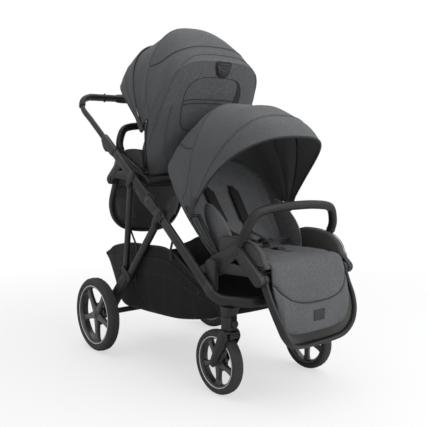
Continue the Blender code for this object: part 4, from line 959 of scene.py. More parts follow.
    def rear_leg(self, side, sign):
        x = sign * TUBE_X
        end = (AXLE_Y, REAR_AXLE_Z)
        low = on_leg(0.355)
        bent = smooth_path([Vector((x, *low)), Vector((x, low[0] + 0.028, low[1] - 0.03)),
                            Vector((x, AXLE_Y - 0.036, REAR_AXLE_Z + 0.027)), Vector((x, *end))], 5)
        bm = bmesh.new()
        tube(bm, side_path(x, (LEG_PIVOT, on_leg(0.012), on_leg(0.03))) + bent, 0.022, 0.029,
             scale=lambda t: 0.86 if t < 0.05 else 1.0)
        block(bm, circle(*LEG_PIVOT, 0.014), *span(sign, 0.2325, 0.2535), edge=0.002)
        clevis(bm, sign, STRUT_FOOT, on_leg(0.285), 0.022, 0.029)
        block(bm, circle(*end, 0.006, 24), *span(sign, TUBE_X, 0.3035))
        own_piece(f"rear_leg_{side}", bm, ["frame"], "rear_frame")
        bm = bmesh.new()
        block(bm, capsule(on_leg(0.31, 0.01), (AXLE_Y - 0.018, REAR_AXLE_Z + 0.022), 0.0175, 0.0225),
              *span(sign, 0.2275, 0.2585), edge=0.004)
        block(bm, circle(*end, 0.021), *span(sign, 0.23, 0.259), edge=0.003)
        finish_piece(f"rear_leg_housing_{side}", bm, ["moulding"], "rear_frame")
        bm = bmesh.new()
        a, b = on_leg(0.33, 0.012), (AXLE_Y - 0.03, REAR_AXLE_Z + 0.035)
        tube(bm, side_path(sign * 0.2588, (a, b)), 0.0022, 0.004, sides=12, edge=0.0006)
        finish_piece(f"rear_leg_trim_{side}", bm, ["steel"], "rear_frame")
        rivet(f"rear_leg_rivets_{side}", [Vector((sign * 0.2582, *STRUT_FOOT)),
                                          Vector((sign * 0.259, *end))], 0.0045, 0.002, "rear_frame")

    def strut(self, side, sign):
        x = sign * TUBE_X
        bm = bmesh.new()
        tube(bm, side_path(x, (STRUT_TOP, STRUT_FOOT)), 0.018, 0.026, power=3.2)
        block(bm, circle(*STRUT_TOP, 0.012), x - 0.0089, x + 0.0089)
        block(bm, circle(*STRUT_FOOT, 0.01), x - 0.0089, x + 0.0089)
        own_piece(f"strut_{side}", bm, ["frame"], f"strut_{side}")

    def axle_and_pedal(self):
        y, z = AXLE_Y, REAR_AXLE_Z
        bm = bmesh.new()
        block(bm, circle(y, z, 0.011, 32), -0.2278, 0.2278)
        own_piece("rear_axle", bm, ["frame"], "rear_frame")
        bm = bmesh.new()
        tread = [(y + 0.006, z + 0.014), (y + 0.03, z + 0.0205), (y + 0.055, z + 0.026),
                 (y + 0.07, z + 0.0245), (y + 0.075, z + 0.02), (y + 0.074, z + 0.015),
                 (y + 0.055, z + 0.016), (y + 0.014, z)]
        block(bm, tread, -0.035, 0.035, edge=0.004)
        for n in range(5):
            rib = y + 0.036 + 0.0065 * n
            rise = z + 0.0212 + (rib - y - 0.03) * 0.21
            block(bm, circle(rib, rise, 0.0018, 12), -0.028, 0.028, edge=0.001)
        block(bm, circle(y, z, 0.017), -0.035, 0.035, edge=0.002)
        own_piece("brake_pedal", bm, ["moulding"], "brake")


# How far the front axles stand behind their swivel pins.
TRAIL = 0.05


class STROLLER_OT_wheels(bpy.types.Operator):
    """Builds the four wheels: treaded tyres, hollow rims, star spokes and silver rings"""
    bl_idname = "stroller.wheels"
    bl_label = "Wheels"

    def execute(self, context):
        for side, sign in SIDES:
            self.wheel("front", side, sign, (sign * CASTER_X, CASTER_Y + TRAIL, FRONT_AXLE_Z), *FRONT_WHEEL)
            self.wheel("rear", side, sign, (sign * REAR_TRACK / 2, AXLE_Y, REAR_AXLE_Z), *REAR_WHEEL)
        return {"FINISHED"}

    def wheel(self, end, side, sign, centre, radius, wide):
        sizes = bpy.context.scene.stroller_sizes
        body = f"{end}_wheel_{side}"
        place = Matrix.Translation(centre)
        seat = radius * 0.8
        crown = centre[2] - sizes.tread_deep
        bm = bmesh.new()
        turned_ring(bm, self.tyre_profile(seat + 0.0003, crown, wide), 128)
        own_piece(f"{end}_tyre_{side}", bm, ["tyre"], body, place)
        mesh = grow("axle", self.tread_blocks(crown, wide, sizes.tread_deep), "tyre",
                    Count=int(sizes.tread_count * radius / REAR_WHEEL[0]), Start=0.0)
        finish_piece(f"{end}_tread_{side}", mesh, ["tyre"], body, place=place)

        bm = bmesh.new()
        turned_ring(bm, self.barrel_profile(seat, wide), 96)
        block(bm, circle(0, 0, 0.019, 48), -0.0125, 0.0125, edge=0.003)
        block(bm, circle(0, 0, 0.012, 40), *sorted((0.0, sign * 0.0165)), edge=0.003)
        block(bm, circle(0, 0, 0.38 * seat, 64), *sorted((-0.0135 * sign, -0.005 * sign)), edge=0.002)
        own_piece(f"{end}_rim_{side}", bm, ["rim"], body, place)
        mesh = grow("axle", self.spoke(seat - 0.0085), "rim", Count=sizes.spokes, Start=0.0)
        finish_piece(f"{end}_spokes_{side}", mesh, ["rim"], body, place=place)

        bm = bmesh.new()
        face = sign * wide * 0.415
        turned_ring(bm, [(seat - 0.0018 + 0.0016 * cos(a), face + sign * 0.0011 * sin(a))
                         for a in (2 * pi * i / 12 for i in range(12))], 128)
        finish_piece(f"{end}_ring_{side}", bm, ["ring"], body, place=place)

    def tyre_profile(self, seat, crown, wide):
        """Section of the tyre: a flat seat, round side walls and a slightly crowned tread."""
        deep = crown - seat
        right = [(seat, 0.34), (seat + 0.05 * deep, 0.385), (seat + 0.09 * deep, 0.405),
                 (seat + 0.16 * deep, 0.455), (seat + 0.28 * deep, 0.485), (seat + 0.42 * deep, 0.498),
                 (seat + 0.58 * deep, 0.488), (seat + 0.73 * deep, 0.455), (seat + 0.85 * deep, 0.395),
                 (seat + 0.93 * deep, 0.32), (seat + 0.975 * deep, 0.235), (crown, 0.1)]
        return [(r, share * wide) for r, share in right] + [(r, -share * wide)
                                                            for r, share in reversed(right)]

    def tread_blocks(self, crown, wide, deep):
        """One repeat of the tread, pointing down: a middle lug and a slanted lug on either shoulder."""
        bm = bmesh.new()
        pitch = 2 * pi * crown / 54
        for middle, half, lean, sink in ((0.0, 0.085, 0.0, 0.0), (-0.215, 0.075, 0.12, 0.0011),
                                         (0.215, 0.075, -0.12, 0.0011)):
            x0, x1 = (middle - half) * wide, (middle + half) * wide
            rings = []
            for z, grow_by in ((-crown + 0.002, 1.0), (-crown - deep * 0.6 + sink, 1.0),
                               (-crown - deep + sink, 0.8)):
                ring = []
                for x, y in ((x0, -0.34), (x1, -0.34), (x1, 0.34), (x0, 0.34)):
                    cx = (x0 + x1) / 2
                    ring.append(Vector((cx + (x - cx) * grow_by, y * pitch * grow_by + lean * (x - cx), z)))
                rings.append(ring)
            skin(bm, rings)
        bmesh.ops.recalc_face_normals(bm, faces=bm.faces)
        return bm

    def barrel_profile(self, seat, wide):
        """Section of the hollow rim: a wall under the tyre with a rolled lip on either side."""
        half = [(seat, 0.355), (seat + 0.0012, 0.385), (seat + 0.0008, 0.408), (seat - 0.0015, 0.418),
                (seat - 0.0045, 0.405), (seat - 0.007, 0.37), (seat - 0.0105, 0.18)]
        return [(r, x * wide) for r, x in half] + [(r, -x * wide) for r, x in reversed(half)]

    def spoke(self, reach):
        """One spoke, pointing down: narrow at its middle and flared into hub and rim."""
        bm = bmesh.new()
        rings = []
        for share, wide, deep in ((0.0, 0.034, 0.02), (0.2, 0.03, 0.0198), (0.34, 0.0248, 0.0192),
                                  (0.5, 0.0218, 0.0184), (0.66, 0.0218, 0.0178), (0.8, 0.0245, 0.0174),
                                  (0.91, 0.031, 0.017), (0.97, 0.04, 0.0168), (1.01, 0.05, 0.0168)):
            far = mix(0.008, reach, share)
            scale = reach / 0.11 if reach < 0.1 else 1.0
            rings.append([Vector((b, a * max(scale, 0.8), -far))
                          for a, b in rounded_section(wide, deep, 20, 3.4)])
        skin(bm, rings)
        bmesh.ops.recalc_face_normals(bm, faces=bm.faces)
        return bm


class STROLLER_OT_casters(bpy.types.Operator):
    """Builds the caster housings, swivelling forks and swivel locks"""
    bl_idname = "stroller.casters"
    bl_label = "Casters"

    def execute(self, context):
        for side, sign in SIDES:
            x = sign * CASTER_X
            self.housing(side, x)
            self.fork(side, x)
            y, z = CASTER_Y - 0.026, 0.2475
            bm = bmesh.new()
            oval = [(x + 0.011 * cos(a), z + 0.013 * sin(a)) for a in (pi * i / 16 for i in range(32))]
            block(bm, oval, y - 0.009, y + 0.004, edge=0.003, axis="Y")
            own_piece(f"swivel_lock_{side}", bm, ["frame"], f"swivel_lock_{side}")
        return {"FINISHED"}

    def housing(self, side, x):
        top = CROSSBAR_Z - 0.0178
        bm = bmesh.new()
        y = CASTER_Y

        def ring(z, front, back, half, corner):
            return [Vector((a, b, z)) for a, b in rounded_box(x - half, y - front, x + half, y + back,
                                                              corner, 7)]

        skin(bm, [ring(0.2235, 0.02, 0.02, 0.02, 0.013), ring(0.225, 0.022, 0.022, 0.022, 0.014),
                  ring(0.2665, 0.0225, 0.0225, 0.0225, 0.014), ring(0.268, 0.0215, 0.0215, 0.0215, 0.0135),
                  ring(0.268, 0.0195, 0.0195, 0.0195, 0.012), ring(0.2705, 0.0195, 0.0195, 0.0195, 0.012),
                  ring(0.2705, 0.0215, 0.0215, 0.0215, 0.0135), ring(0.272, 0.023, 0.0225, 0.0225, 0.014),
                  ring(0.283, 0.024, 0.023, 0.0232, 0.014), ring(0.293, 0.029, 0.0245, 0.0255, 0.014),
                  ring(top - 0.001, 0.035, 0.026, 0.028, 0.012), ring(top, 0.0335, 0.025, 0.0265, 0.011)])
        own_piece(f"caster_housing_{side}", bm, ["frame"], "front_frame", smooth=40)

    def fork(self, side, x):
        y, crown = CASTER_Y, 0.2232
        axle = (y + TRAIL, FRONT_AXLE_Z)
        half = FRONT_WHEEL[1] / 2 + 0.0045
        bm = bmesh.new()
        block(bm, rounded_box(x - half - 0.005, y - 0.024, x + half + 0.005, y + 0.024, 0.012),
              crown - 0.008, crown, edge=0.0025, axis="Z")
        for lean in SIGNS:
            x0, x1 = sorted((x + lean * half, x + lean * (half + 0.0052)))
            block(bm, capsule(axle, (y - 0.002, crown - 0.018), 0.0135, 0.0215), x0, x1, edge=0.0022)
            x0, x1 = sorted((x + lean * (half + 0.0048), x + lean * (half + 0.0062)))
            block(bm, capsule((axle[0] - 0.003, axle[1] + 0.012), (y + 0.004, crown - 0.026), 0.0075,
                              0.0125), x0, x1, edge=0.001)
        block(bm, circle(*axle, 0.006, 24), x - half - 0.002, x + half + 0.002)
        own_piece(f"caster_fork_{side}", bm, ["frame"], f"caster_{side}")
        bm = bmesh.new()
        for n in range(3):
            z = crown - 0.0045 - 0.0075 * n
            block(bm, rounded_box(x - 0.019 + 0.001 * n, y - 0.0325 + 0.001 * n, x + 0.019 - 0.001 * n,
                                  y - 0.018, 0.005), z - 0.0026, z + 0.0026, edge=0.0012, axis="Z")
        block(bm, rounded_box(x - 0.016, y - 0.029, x + 0.016, y - 0.016, 0.005), crown - 0.024,
              crown - 0.001, edge=0.002, axis="Z")
        finish_piece(f"caster_bumper_{side}", bm, ["moulding"], f"caster_{side}")
        rivet(f"caster_rivets_{side}", [Vector((x + s * (half + 0.0052), *axle)) for s in SIGNS], 0.0062,
              0.0026, f"caster_{side}")


class STROLLER_OT_handle(bpy.types.Operator):
    """Builds the telescopic handle with its leatherette sleeve, seams and middle pod"""
    bl_idname = "stroller.handle"
    bl_label = "Handle"

    def execute(self, context):
        bend = on_upper(UPPER_LONG + 0.262)
        before = on_upper(UPPER_LONG + 0.262 * 0.7)
        y, z = HANDLE_TOP
        half = [Vector((-TUBE_X, *before)), Vector((-TUBE_X, *bend)),
                Vector((-TUBE_X + 0.012, y - 0.006, (bend[1] + z) / 2 + 0.01)),
                Vector((-TUBE_X + 0.04, y, z - 0.002)), Vector((-0.185, y, z)), Vector((-0.165, y, z)),
                Vector((0, y, z))]
        bow = smooth_bow(half, 8)
        first = Vector((-TUBE_X, *on_upper(UPPER_LONG - 0.13)))
        bm = bmesh.new()
        tube(bm, [first] + bow + [Vector((-first.x, first.y, first.z))], 0.014, 0.026, sides=24)
        own_piece("handle_bar", bm, ["frame"], "handle")
        held = [p for p in bow if p.z > 0.966]
        bm = bmesh.new()
        tube(bm, held, 0.0236, 0.0356, sides=32, power=2.3, edge=0.004)
        own_piece("handle_grip", bm, ["leatherette"], "handle")
        bm = bmesh.new()
        for x in (-0.129, 0.125):
            tube(bm, [Vector((x, y, z)), Vector((x + 0.004, y, z))], 0.0368, 0.0248, sides=32,
                 across=(0, 0, 1), power=2.3, edge=0.0012)
        finish_piece("handle_seams", bm, ["piping"], "handle")
        under = [Vector((p.x, p.y - 0.0085, p.z - 0.015))
                 for p in held if abs(p.x) < 0.215 and abs(p.x) > 0.075]
        rows = [[p for p in under if p.x < 0], [p for p in under if p.x > 0]]
        stitch("handle_stitches", rows, "handle")
        bm = bmesh.new()
        tube(bm, [Vector((x, y, z)) for x in (-0.072, -0.05, 0.05, 0.072)], 0.0378, 0.0256, sides=32,
             across=(0, 0, 1), power=3.0, scale=lambda t: 0.9 if t in (0.0, 1.0) else 1.0, edge=0.004)
        block(bm, rounded_box(-0.02, z - 0.009, 0.02, z + 0.009, 0.006), y + 0.01, y + 0.0172, edge=0.002,
              axis="Y")
        for x in (-0.042, 0.042):
            block(bm, circle(x, z, 0.0075, 24), y + 0.01, y + 0.0168, edge=0.0015, axis="Y")
        finish_piece("handle_pod", bm, ["moulding"], "handle")
        return {"FINISHED"}


BASKET_STATIONS = (
    # y, floor height, rim height, half width at the rim, half width at the floor
    (0.452, 0.352, 0.372, 0.196, 0.18), (0.405, 0.258, 0.39, 0.204, 0.178),
    (0.35, 0.178, 0.414, 0.211, 0.18), (0.22, 0.177, 0.439, 0.221, 0.184),
    (0.09, 0.183, 0.447, 0.2323, 0.185), (-0.03, 0.191, 0.447, 0.226, 0.185),
    (-0.115, 0.204, 0.405, 0.22, 0.18), (-0.19, 0.22, 0.352, 0.208, 0.172),
    (-0.255, 0.24, 0.302, 0.186, 0.16),
)


def station(table, share):
    """Smooth values between the rows of a table, at a share of its length."""
    spans = len(table) - 1
    at = min(max(share, 0.0), 1.0) * spans
    i = min(int(at), spans - 1)
    t = at - i
    rows = [table[max(i - 1, 0)], table[i], table[i + 1], table[min(i + 2, spans)]]
    return [0.5 * (2 * b + (c - a) * t + (2 * a - 5 * b + 4 * c - d) * t * t
                   + (3 * b - a - 3 * c + d) * t ** 3) for a, b, c, d in zip(*rows)]


def panel(bm, outer, inner, rows, columns, size):
    """A closed sheet between two surfaces of (u, v) from 0 to 1, with cloth coordinates in metres.

    Its outside, inside and rim take the piece's first, second and third finish."""
    cloth = bm.loops.layers.uv.get("cloth") or bm.loops.layers.uv.new("cloth")
    grids = [[[bm.verts.new(surface(c / columns, r / rows)) for c in range(columns + 1)]
              for r in range(rows + 1)] for surface in (outer, inner)]
    for finish, grid in enumerate(grids):
        for r in range(rows):
            for c in range(columns):
                face = bm.faces.new((grid[r][c], grid[r][c + 1], grid[r + 1][c + 1], grid[r + 1][c]))
                face.material_index = finish
                for loop, (i, j) in zip(face.loops, ((c, r), (c + 1, r), (c + 1, r + 1), (c, r + 1))):
                    loop[cloth].uv = (size[0] * i / columns, size[1] * j / rows)
    near, far = grids
    rim = ([(0, c) for c in range(columns)] + [(r, columns) for r in range(rows)]
           + [(rows, c) for c in range(columns, 0, -1)] + [(r, 0) for r in range(rows, 0, -1)])
    for (r, c), (s, d) in zip(rim, rim[1:] + rim[:1]):
        bm.faces.new((near[r][c], near[s][d], far[s][d], far[r][c])).material_index = 2


class STROLLER_OT_basket(bpy.types.Operator):
    """Builds the cloth basket with its bound rim, band, snaps and hanging straps"""
    bl_idname = "stroller.basket"
    bl_label = "Basket"

    def execute(self, context):
        bm = bmesh.new()
        panel(bm, lambda u, v: self.cloth(u, v, 0.0), lambda u, v: self.cloth(u, v, 0.003), 60, 72,
              (0.8, 0.85))
        basket = own_piece("basket", bm, ["basket", "basket", "piping"], "front_frame", smooth=60)
        bm = bmesh.new()
        rim = ([self.cloth(0.0, v / 60, 0.0015) for v in range(61)]
               + [self.cloth(u / 72, 1.0, 0.0015) for u in range(1, 73)]
               + [self.cloth(1.0, v / 60, 0.0015) for v in range(59, -1, -1)]
               + [self.cloth(u / 72, 0.0, 0.0015) for u in range(71, -1, -1)])
        tube(bm, rim, 0.007, 0.007, sides=10, across=(0, 0, 1), power=2.0)
        finish_piece("basket_binding", bm, ["piping"], "front_frame")
        self.bands()
        self.fixings()
        return {"FINISHED"}

    def cloth(self, u, v, inset):
        """A point of the cloth: u from the right rim under to the left rim, v from back to front."""
        y, floor, rim, top_half, low_half = station(BASKET_STATIONS, v)
        side = -1 if u < 0.5 else 1
        share = 1 - abs(2 * u - 1)
        wall = min(share / 0.62, 1.0)
        across = max(0.0, (share - 0.62) / 0.38)
        if share < 0.62:
            belly = sin(wall * pi / 2)
            z = mix(rim, floor + inset, belly)
            half = mix(top_half, low_half * 0.97, wall ** 2) - inset
            half -= 0.006 * sin(wall * pi) * (0.5 + 0.5 * sin(v * 9.0))
        else:
            z = floor + inset - 0.004 * sin(across * pi / 2)
            half = (low_half * 0.97 - inset) * (1 - across)
        end = inset if v < 0.001 else (-inset if v > 0.999 else 0.0)
        return Vector((side * half, y - end, z))

    def bands(self):
        """A reinforcing tape under each rim, and the seam that joins wall and floor."""
        rows = []
        for side in (0, 1):
            bm = bmesh.new()
            at = [(0.03, -0.0012), (0.03, 0.0), (0.085, 0.0), (0.085, -0.0012)]
            rings = [[self.cloth(abs(side - u), v / 60, inset) for u, inset in at] for v in range(2, 59)]
            skin(bm, rings)
            finish_piece(f"basket_band_{SIDES[side][0]}", bm, ["basket"], "front_frame")
            for u in (0.035, 0.08):
                rows.append([self.cloth(abs(side - u), v / 60, -0.0016) for v in range(2, 59)])
            rows.append([self.cloth(abs(side - 0.31), v / 60, -0.0006) for v in range(2, 59)])
        stitch("basket_stitches", rows, "front_frame")

    def fixings(self):
        bm = bmesh.new()
        for sign in SIGNS:
            for y, z, y2, z2 in ((0.165, 0.44, 0.205, 0.505), (-0.06, 0.44, -0.085, 0.505)):
                path = [Vector((sign * 0.229, y, z - 0.03)), Vector((sign * 0.231, y, z)),
                        Vector((sign * 0.2325, (y + y2) / 2, (z + z2) / 2)), Vector((sign * 0.233, y2, z2))]
                tube(bm, smooth_path(path, 4), 0.0018, 0.012, sides=12, power=4.0, edge=0.0005)
        finish_piece("basket_straps", bm, ["webbing"], "front_frame")
        snaps = [self.cloth(u, v, -0.0015) for u in (0.0575, 0.9425) for v in (0.3, 0.335, 0.87)]
        rivet("basket_snaps", snaps, 0.0048, 0.0022, "front_frame")


# Seats. Each surface is a function of u across and v along, both from 0 to 1.

BACK_STATIONS = (
    # half width, depth of the middle, slope of the section in degrees, from the hip to the canopy
    (0.167, 0.084, 0.0),
    (0.186, 0.107, 8.0),
    (0.204, 0.129, 16.0),
    (0.217, 0.185, 29.0),
    (0.226, 0.287, 41.2),
)
SHELL_THICK = 0.006
HOOD_REAR, HOOD_MIDDLE, HOOD_FRONT = 42.0, 82.0, 108.0
CLOTH_THICK = 0.0035
COLLAR_POWER = 3.6
CANOPY_ROWS = (
    # radius of the middle and squareness of the section, from the collar to the visor's lip
    (0.3043, 3.6), (0.331, 3.1), (0.366, 2.35), (0.382, 2.25), (0.382, 2.25),
    (0.3775, 2.4), (0.374, 2.65), (0.377, 2.75), (0.368, 2.7),
)
ROW_DEGREES = 12.0
VISOR_GROW = 0.004
VISOR_LAP = 1.72
BUCKLE = Vector((0, 0.196, 0.072))


def seat_place(seat, with_back=False):
    """The move from a seat's own side view to the stroller, with the back's upright turn for its pieces."""
    turn = Matrix.Identity(4)
    if with_back:
        about = Matrix.Translation((0, *RECLINE_AXIS))
        turn = about @ Matrix.Rotation(seat["upright"], 4, "X") @ about.inverted()
    if seat["facing"] < 0:
        turn = Matrix.Rotation(pi, 4, "Z") @ turn
    return Matrix.Translation((0, *seat["at"])) @ turn


def bend(seat, part, start, end):
    """The seat's frame, a moving part and two of the seat's points, for cloth that spans them. Pieces given
    this ride on neither body and do not bend.
    """
    (y0, z0), (y1, z1) = seat_point(seat, start), seat_point(seat, end)
    return seat["frame"], f"{seat['name']}_{part}", (0, y0 + CENTRED, z0), (0, y1 + CENTRED, z1)


def arch(u, half, rise, power=ARCH_POWER):
    a = u * pi / 2
    return (copysign(abs(sin(a)) ** (2 / power), u) * half,
            abs(cos(a)) ** (2 / power) * rise)


def back_power(v):
    """How square the back's section is, which grows towards the collar under the canopy."""
    return mix(ARCH_POWER, COLLAR_POWER, max(0.0, (v - 0.6) / 0.4))


def back_surface(u, v, inset=0.0):
    """A point of the seat back's outside, from its right edge round to its left and from hip to canopy."""
    half, depth, slope = station(BACK_STATIONS, v)
    x, out = arch(2 * u - 1, half - inset, depth - inset, back_power(v))
    lean = radians(slope)
    out += 0.0073 + 0.01 * v
    return Vector((x, mix(RECLINE_AXIS[0] + 0.005, CANOPY_AXIS[0], v) + out * cos(lean),
                   mix(RECLINE_AXIS[1] - 0.005, CANOPY_AXIS[1], v) + out * sin(lean)))


# The back cushion covers this share of the shell, across its middle and down from its top.
PAD_SHARE = 0.875


def pad_face(u, v):
    """The face of the back cushion, which swells between its edges."""
    across, up = PAD_SHARE * (2 * u - 1), mix(1 - PAD_SHARE, 1.0, v)
    lean = radians(station(BACK_STATIONS, up)[2])
    puff = max(0.0, 1 - abs(across / 0.86) ** 3)
    ends = min(1.0, 5 * max(0.0, up - 0.12), 7 * (1 - up) + 0.2) ** 0.5
    thick = 0.01 + 0.022 * puff * ends
    behind = back_surface(across / 2 + 0.5, up, SHELL_THICK + 0.0008)
    return behind - Vector((0, cos(lean), sin(lean))) * thick


def pad_rear(u, v):
    return back_surface(PAD_SHARE / 2 * (2 * u - 1) + 0.5, mix(1 - PAD_SHARE, 1.0, v), SHELL_THICK + 0.0008)


def canopy_point(across, degrees, grow, bottom=0.015):
    """A point of the canopy at an angle about its axis, across from -1 to 1."""
    rise, power = station(CANOPY_ROWS, (degrees - HOOD_REAR) / (ROW_DEGREES * (len(CANOPY_ROWS) - 1)))
    tuck = 0.008 * max(0.0, (degrees - 110.0) / 28.0) ** 1.5
    x, out = arch(across * (1 - bottom), CANOPY_HALF - tuck + grow, rise + grow, power)
    a = radians(degrees)
    return Vector((x, CANOPY_AXIS[0] + out * cos(a), CANOPY_AXIS[1] + out * sin(a)))


def hood_cloth(across, degrees, inset=0.0):
    """The hood's cloth, which sinks between its bows and stands proud over the middle one."""
    deep = bpy.context.scene.stroller_sizes.sag
    if degrees > HOOD_MIDDLE:
        sink = sin(pi * (degrees - HOOD_MIDDLE) / (HOOD_FRONT - HOOD_MIDDLE))
    else:
        sink = 0.55 * sin(pi * (degrees - HOOD_REAR) / (HOOD_MIDDLE - HOOD_REAR))
    ridge = 0.0016 * exp(-((degrees - HOOD_MIDDLE) / 1.3) ** 2)
    tug = 0.0016 * sin(9 * across + 0.3 * degrees) * abs(across) ** 3 * (1 - across ** 8)
    return canopy_point(across, degrees, ridge + tug - inset - deep * sink * (1 - across ** 6))


def lip_degrees(across):
    """The angle of the visor's front edge, which is furthest forward in the middle."""
    return mix(122.5, 136.0, max(0.0, cos(across * pi / 2)) ** 0.85)


def visor_cloth(u, v, grow):
    across = 2 * u - 1
    degrees = mix(HOOD_FRONT - VISOR_LAP, lip_degrees(across), v)
    droop = 0.003 * sin(pi * v) * (1 - across ** 4)
    return canopy_point(across, degrees, grow - droop)


def seam_path(marks, surface, per=7):
    """A smooth line over a surface through marks, each a pair that the surface takes."""
    return [surface(p.x, p.y) for p in smooth_path([Vector((*mark, 0.0)) for mark in marks], per)]


def both_ways(marks):
    return [(-a, b) for a, b in reversed(marks) if a > 0] + list(marks)


def settle(paths, mesh, lift):
    """Lays paths on a mesh, held off its faces by lift."""
    tree = BVHTree.FromPolygons([v.co for v in mesh.vertices], [p.vertices for p in mesh.polygons])
    laid = []
    for path in paths:
        found = [tree.find_nearest(point) for point in path]
        laid.append([spot + normal * lift for spot, normal, *_ in found])
    return laid


def press(mesh, paths, depth, width):
    """Draws a cushion in along each path, as its thread does."""
    spots = [point for path in paths for point in path]
    tree = KDTree(len(spots))
    for index, spot in enumerate(spots):
        tree.insert(spot, index)
    tree.balance()
    moved = []
    for vert in mesh.vertices:
        reach = tree.find(vert.co)[2]
        moved.append(vert.co - vert.normal * depth * exp(-(reach / width) ** 2))
    for vert, place in zip(mesh.vertices, moved):
        vert.co = place


def applied(mesh, kind, **settings):
    """The mesh after one modifier."""
    carrier = bpy.data.objects.new("carrier", mesh)
    bpy.context.collection.objects.link(carrier)
    modifier = carrier.modifiers.new(kind, kind)
    for key, value in settings.items():
        setattr(modifier, key, value)
    ready = carrier.evaluated_get(bpy.context.evaluated_depsgraph_get())
    made = bpy.data.meshes.new_from_object(ready)
    bpy.data.objects.remove(carrier, do_unlink=True)
    return made


def swollen(bm, cap):
    """A cushion's cover pushed out by its filling, no point beyond cap, by a short cloth simulation."""
    bmesh.ops.recalc_face_normals(bm, faces=bm.faces)
    mesh = bpy.data.meshes.new("cushion")
    bm.to_mesh(mesh)
    bm.free()
    start = applied(mesh, "REMESH", mode="VOXEL", voxel_size=0.005)
    cover = bpy.data.objects.new("cover", start)
    bpy.context.collection.objects.link(cover)
    cloth = cover.modifiers.new("cloth", "CLOTH")
    cloth.settings.use_pressure = True
    cloth.settings.uniform_pressure_force = 4.0
    cloth.settings.effector_weights.gravity = 0.0
    frames = 20
    cloth.point_cache.frame_end = frames
    scene = bpy.context.scene
    for step in range(1, frames + 1):
        scene.frame_set(step)
    ready = cover.evaluated_get(bpy.context.evaluated_depsgraph_get())
    full = bpy.data.meshes.new_from_object(ready)
    for vert, old in zip(full.vertices, start.vertices):
        push = vert.co - old.co
        if push.length > cap:
            vert.co = old.co + push.normalized() * cap
    bpy.data.objects.remove(cover, do_unlink=True)
    scene.frame_set(1)
    return applied(full, "SUBSURF", levels=1, render_levels=1)


def piping(name, paths, body, finish="piping", radius=None, place=None, slot="cover"):
    """Piped seams: one cord for each path."""
    radius = radius or bpy.context.scene.stroller_sizes.piping
    bm = bmesh.new()
    for path in paths:
        tube(bm, path, 2 * radius, 2 * radius, sides=8, across=(0.31, 0.24, 0.92), power=2.0,
             edge=radius * 0.5)
    return finish_piece(name, bm, [finish], body, place=place, smooth=60)


class STROLLER_OT_seat_frames(bpy.types.Operator):
    """Builds the moulded arms of each seat with their domes, sockets and hinge caps"""
    bl_idname = "stroller.seat_frames"
    bl_label = "Seat Frames"

    def execute(self, context):
        outside = ARM_INSIDE + ARM_THICK
        rear, front = (0.271, -0.002), (0.026, 0.0209)
        limbs = ((RECLINE_AXIS, SOCKET, 0.034, 0.02), (SOCKET, (0, 0), 0.0195, 0.02),
                 (RECLINE_AXIS, rear, 0.022, 0.013), (RECLINE_AXIS, front, 0.024, 0.0135))
        for seat in SEATS:
            name, place = seat["name"], seat_place(seat)
            bm = bmesh.new()
            for sign in SIGNS:
                for n, limb in enumerate(limbs):
                    thin = n * 0.0006
                    block(bm, capsule(*limb), *span(sign, ARM_INSIDE + thin, outside - thin), edge=0.0045)
                for spot, radius in ((RECLINE_AXIS, 0.026), ((0, 0), 0.0145), (SOCKET, 0.0125)):
                    block(bm, circle(*spot, radius), *span(sign, outside - 0.004, outside + 0.0022),
                          edge=0.002)
                rib = [(mix(RECLINE_AXIS[0], SOCKET[0], t), mix(RECLINE_AXIS[1], SOCKET[1], t))
                       for t in (0.42, 0.86)]
                block(bm, capsule(rib[0], rib[1], 0.012, 0.007),
                      *span(sign, outside - 0.003, outside + 0.0012), edge=0.001)
                x = sign * (ARM_INSIDE + ARM_THICK / 2)
                mouth = [Vector((x, *side_point(SOCKET, SOCKET_LEAN, 0.0, t)))
                         for t in (0.002, 0.012, 0.0195)]
                tube(bm, mouth, 0.023, 0.03, power=2.4, edge=0.002)
            for at in (rear, front):
                path = [Vector((t * (ARM_INSIDE + 0.006), *at)) for t in (-1, -0.5, 0, 0.5, 1)]
                tube(bm, path, 0.0176, 0.0176, sides=20, across=(0, 1, 0), power=2.0)
            own_piece(f"{name}_seat_frame", bm, ["moulding"], seat["frame"], place)
            caps = [Vector((sign * (outside + 0.0016), *spot)) for sign in SIGNS
                    for spot in ((0, 0), RECLINE_AXIS)]
            rivet(f"{name}_seat_pins", caps, 0.0046, 0.0016, seat["frame"], place)
        return {"FINISHED"}


CUSHION_HALF = 0.162


def cushion_top(u, v):
    """The top of the seat cushion, from its front roll to the seat back."""
    side = 2 * u - 1
    y = mix(0.012, 0.244 - 0.034 * abs(side) ** 3, v)
    half = mix(CUSHION_HALF, 0.15, max(0.0, min(1.0, (y - 0.11) / 0.07)))
    drawn = min(1.0, 6 * v + 0.35, 5 * (1 - v), 5 * (1 - abs(side))) ** 0.5
    return Vector((side * half, y, 0.04 + 0.0185 * drawn * (1 - 0.18 * side ** 2)))


def cushion_floor(u, v):
    top = cushion_top(u, v)
    return Vector((top.x, top.y, 0.0305))


ROLL = (
    # y, z and half width of the front roll and the calf panel, from the seat cushion down to the hem
    (0.036, 0.056, 0.158), (0.012, 0.056, 0.161), (-0.01, 0.047, 0.163), (-0.023, 0.026, 0.166),
    (-0.031, -0.003, 0.17), (-0.042, -0.04, 0.1705), (-0.0525, -0.08, 0.168), (-0.056, -0.112, 0.163),
    (-0.055, -0.145, 0.154), (-0.05, -0.171, 0.14), (-0.043, -0.187, 0.12),
)
CALF_FILL = 0.019


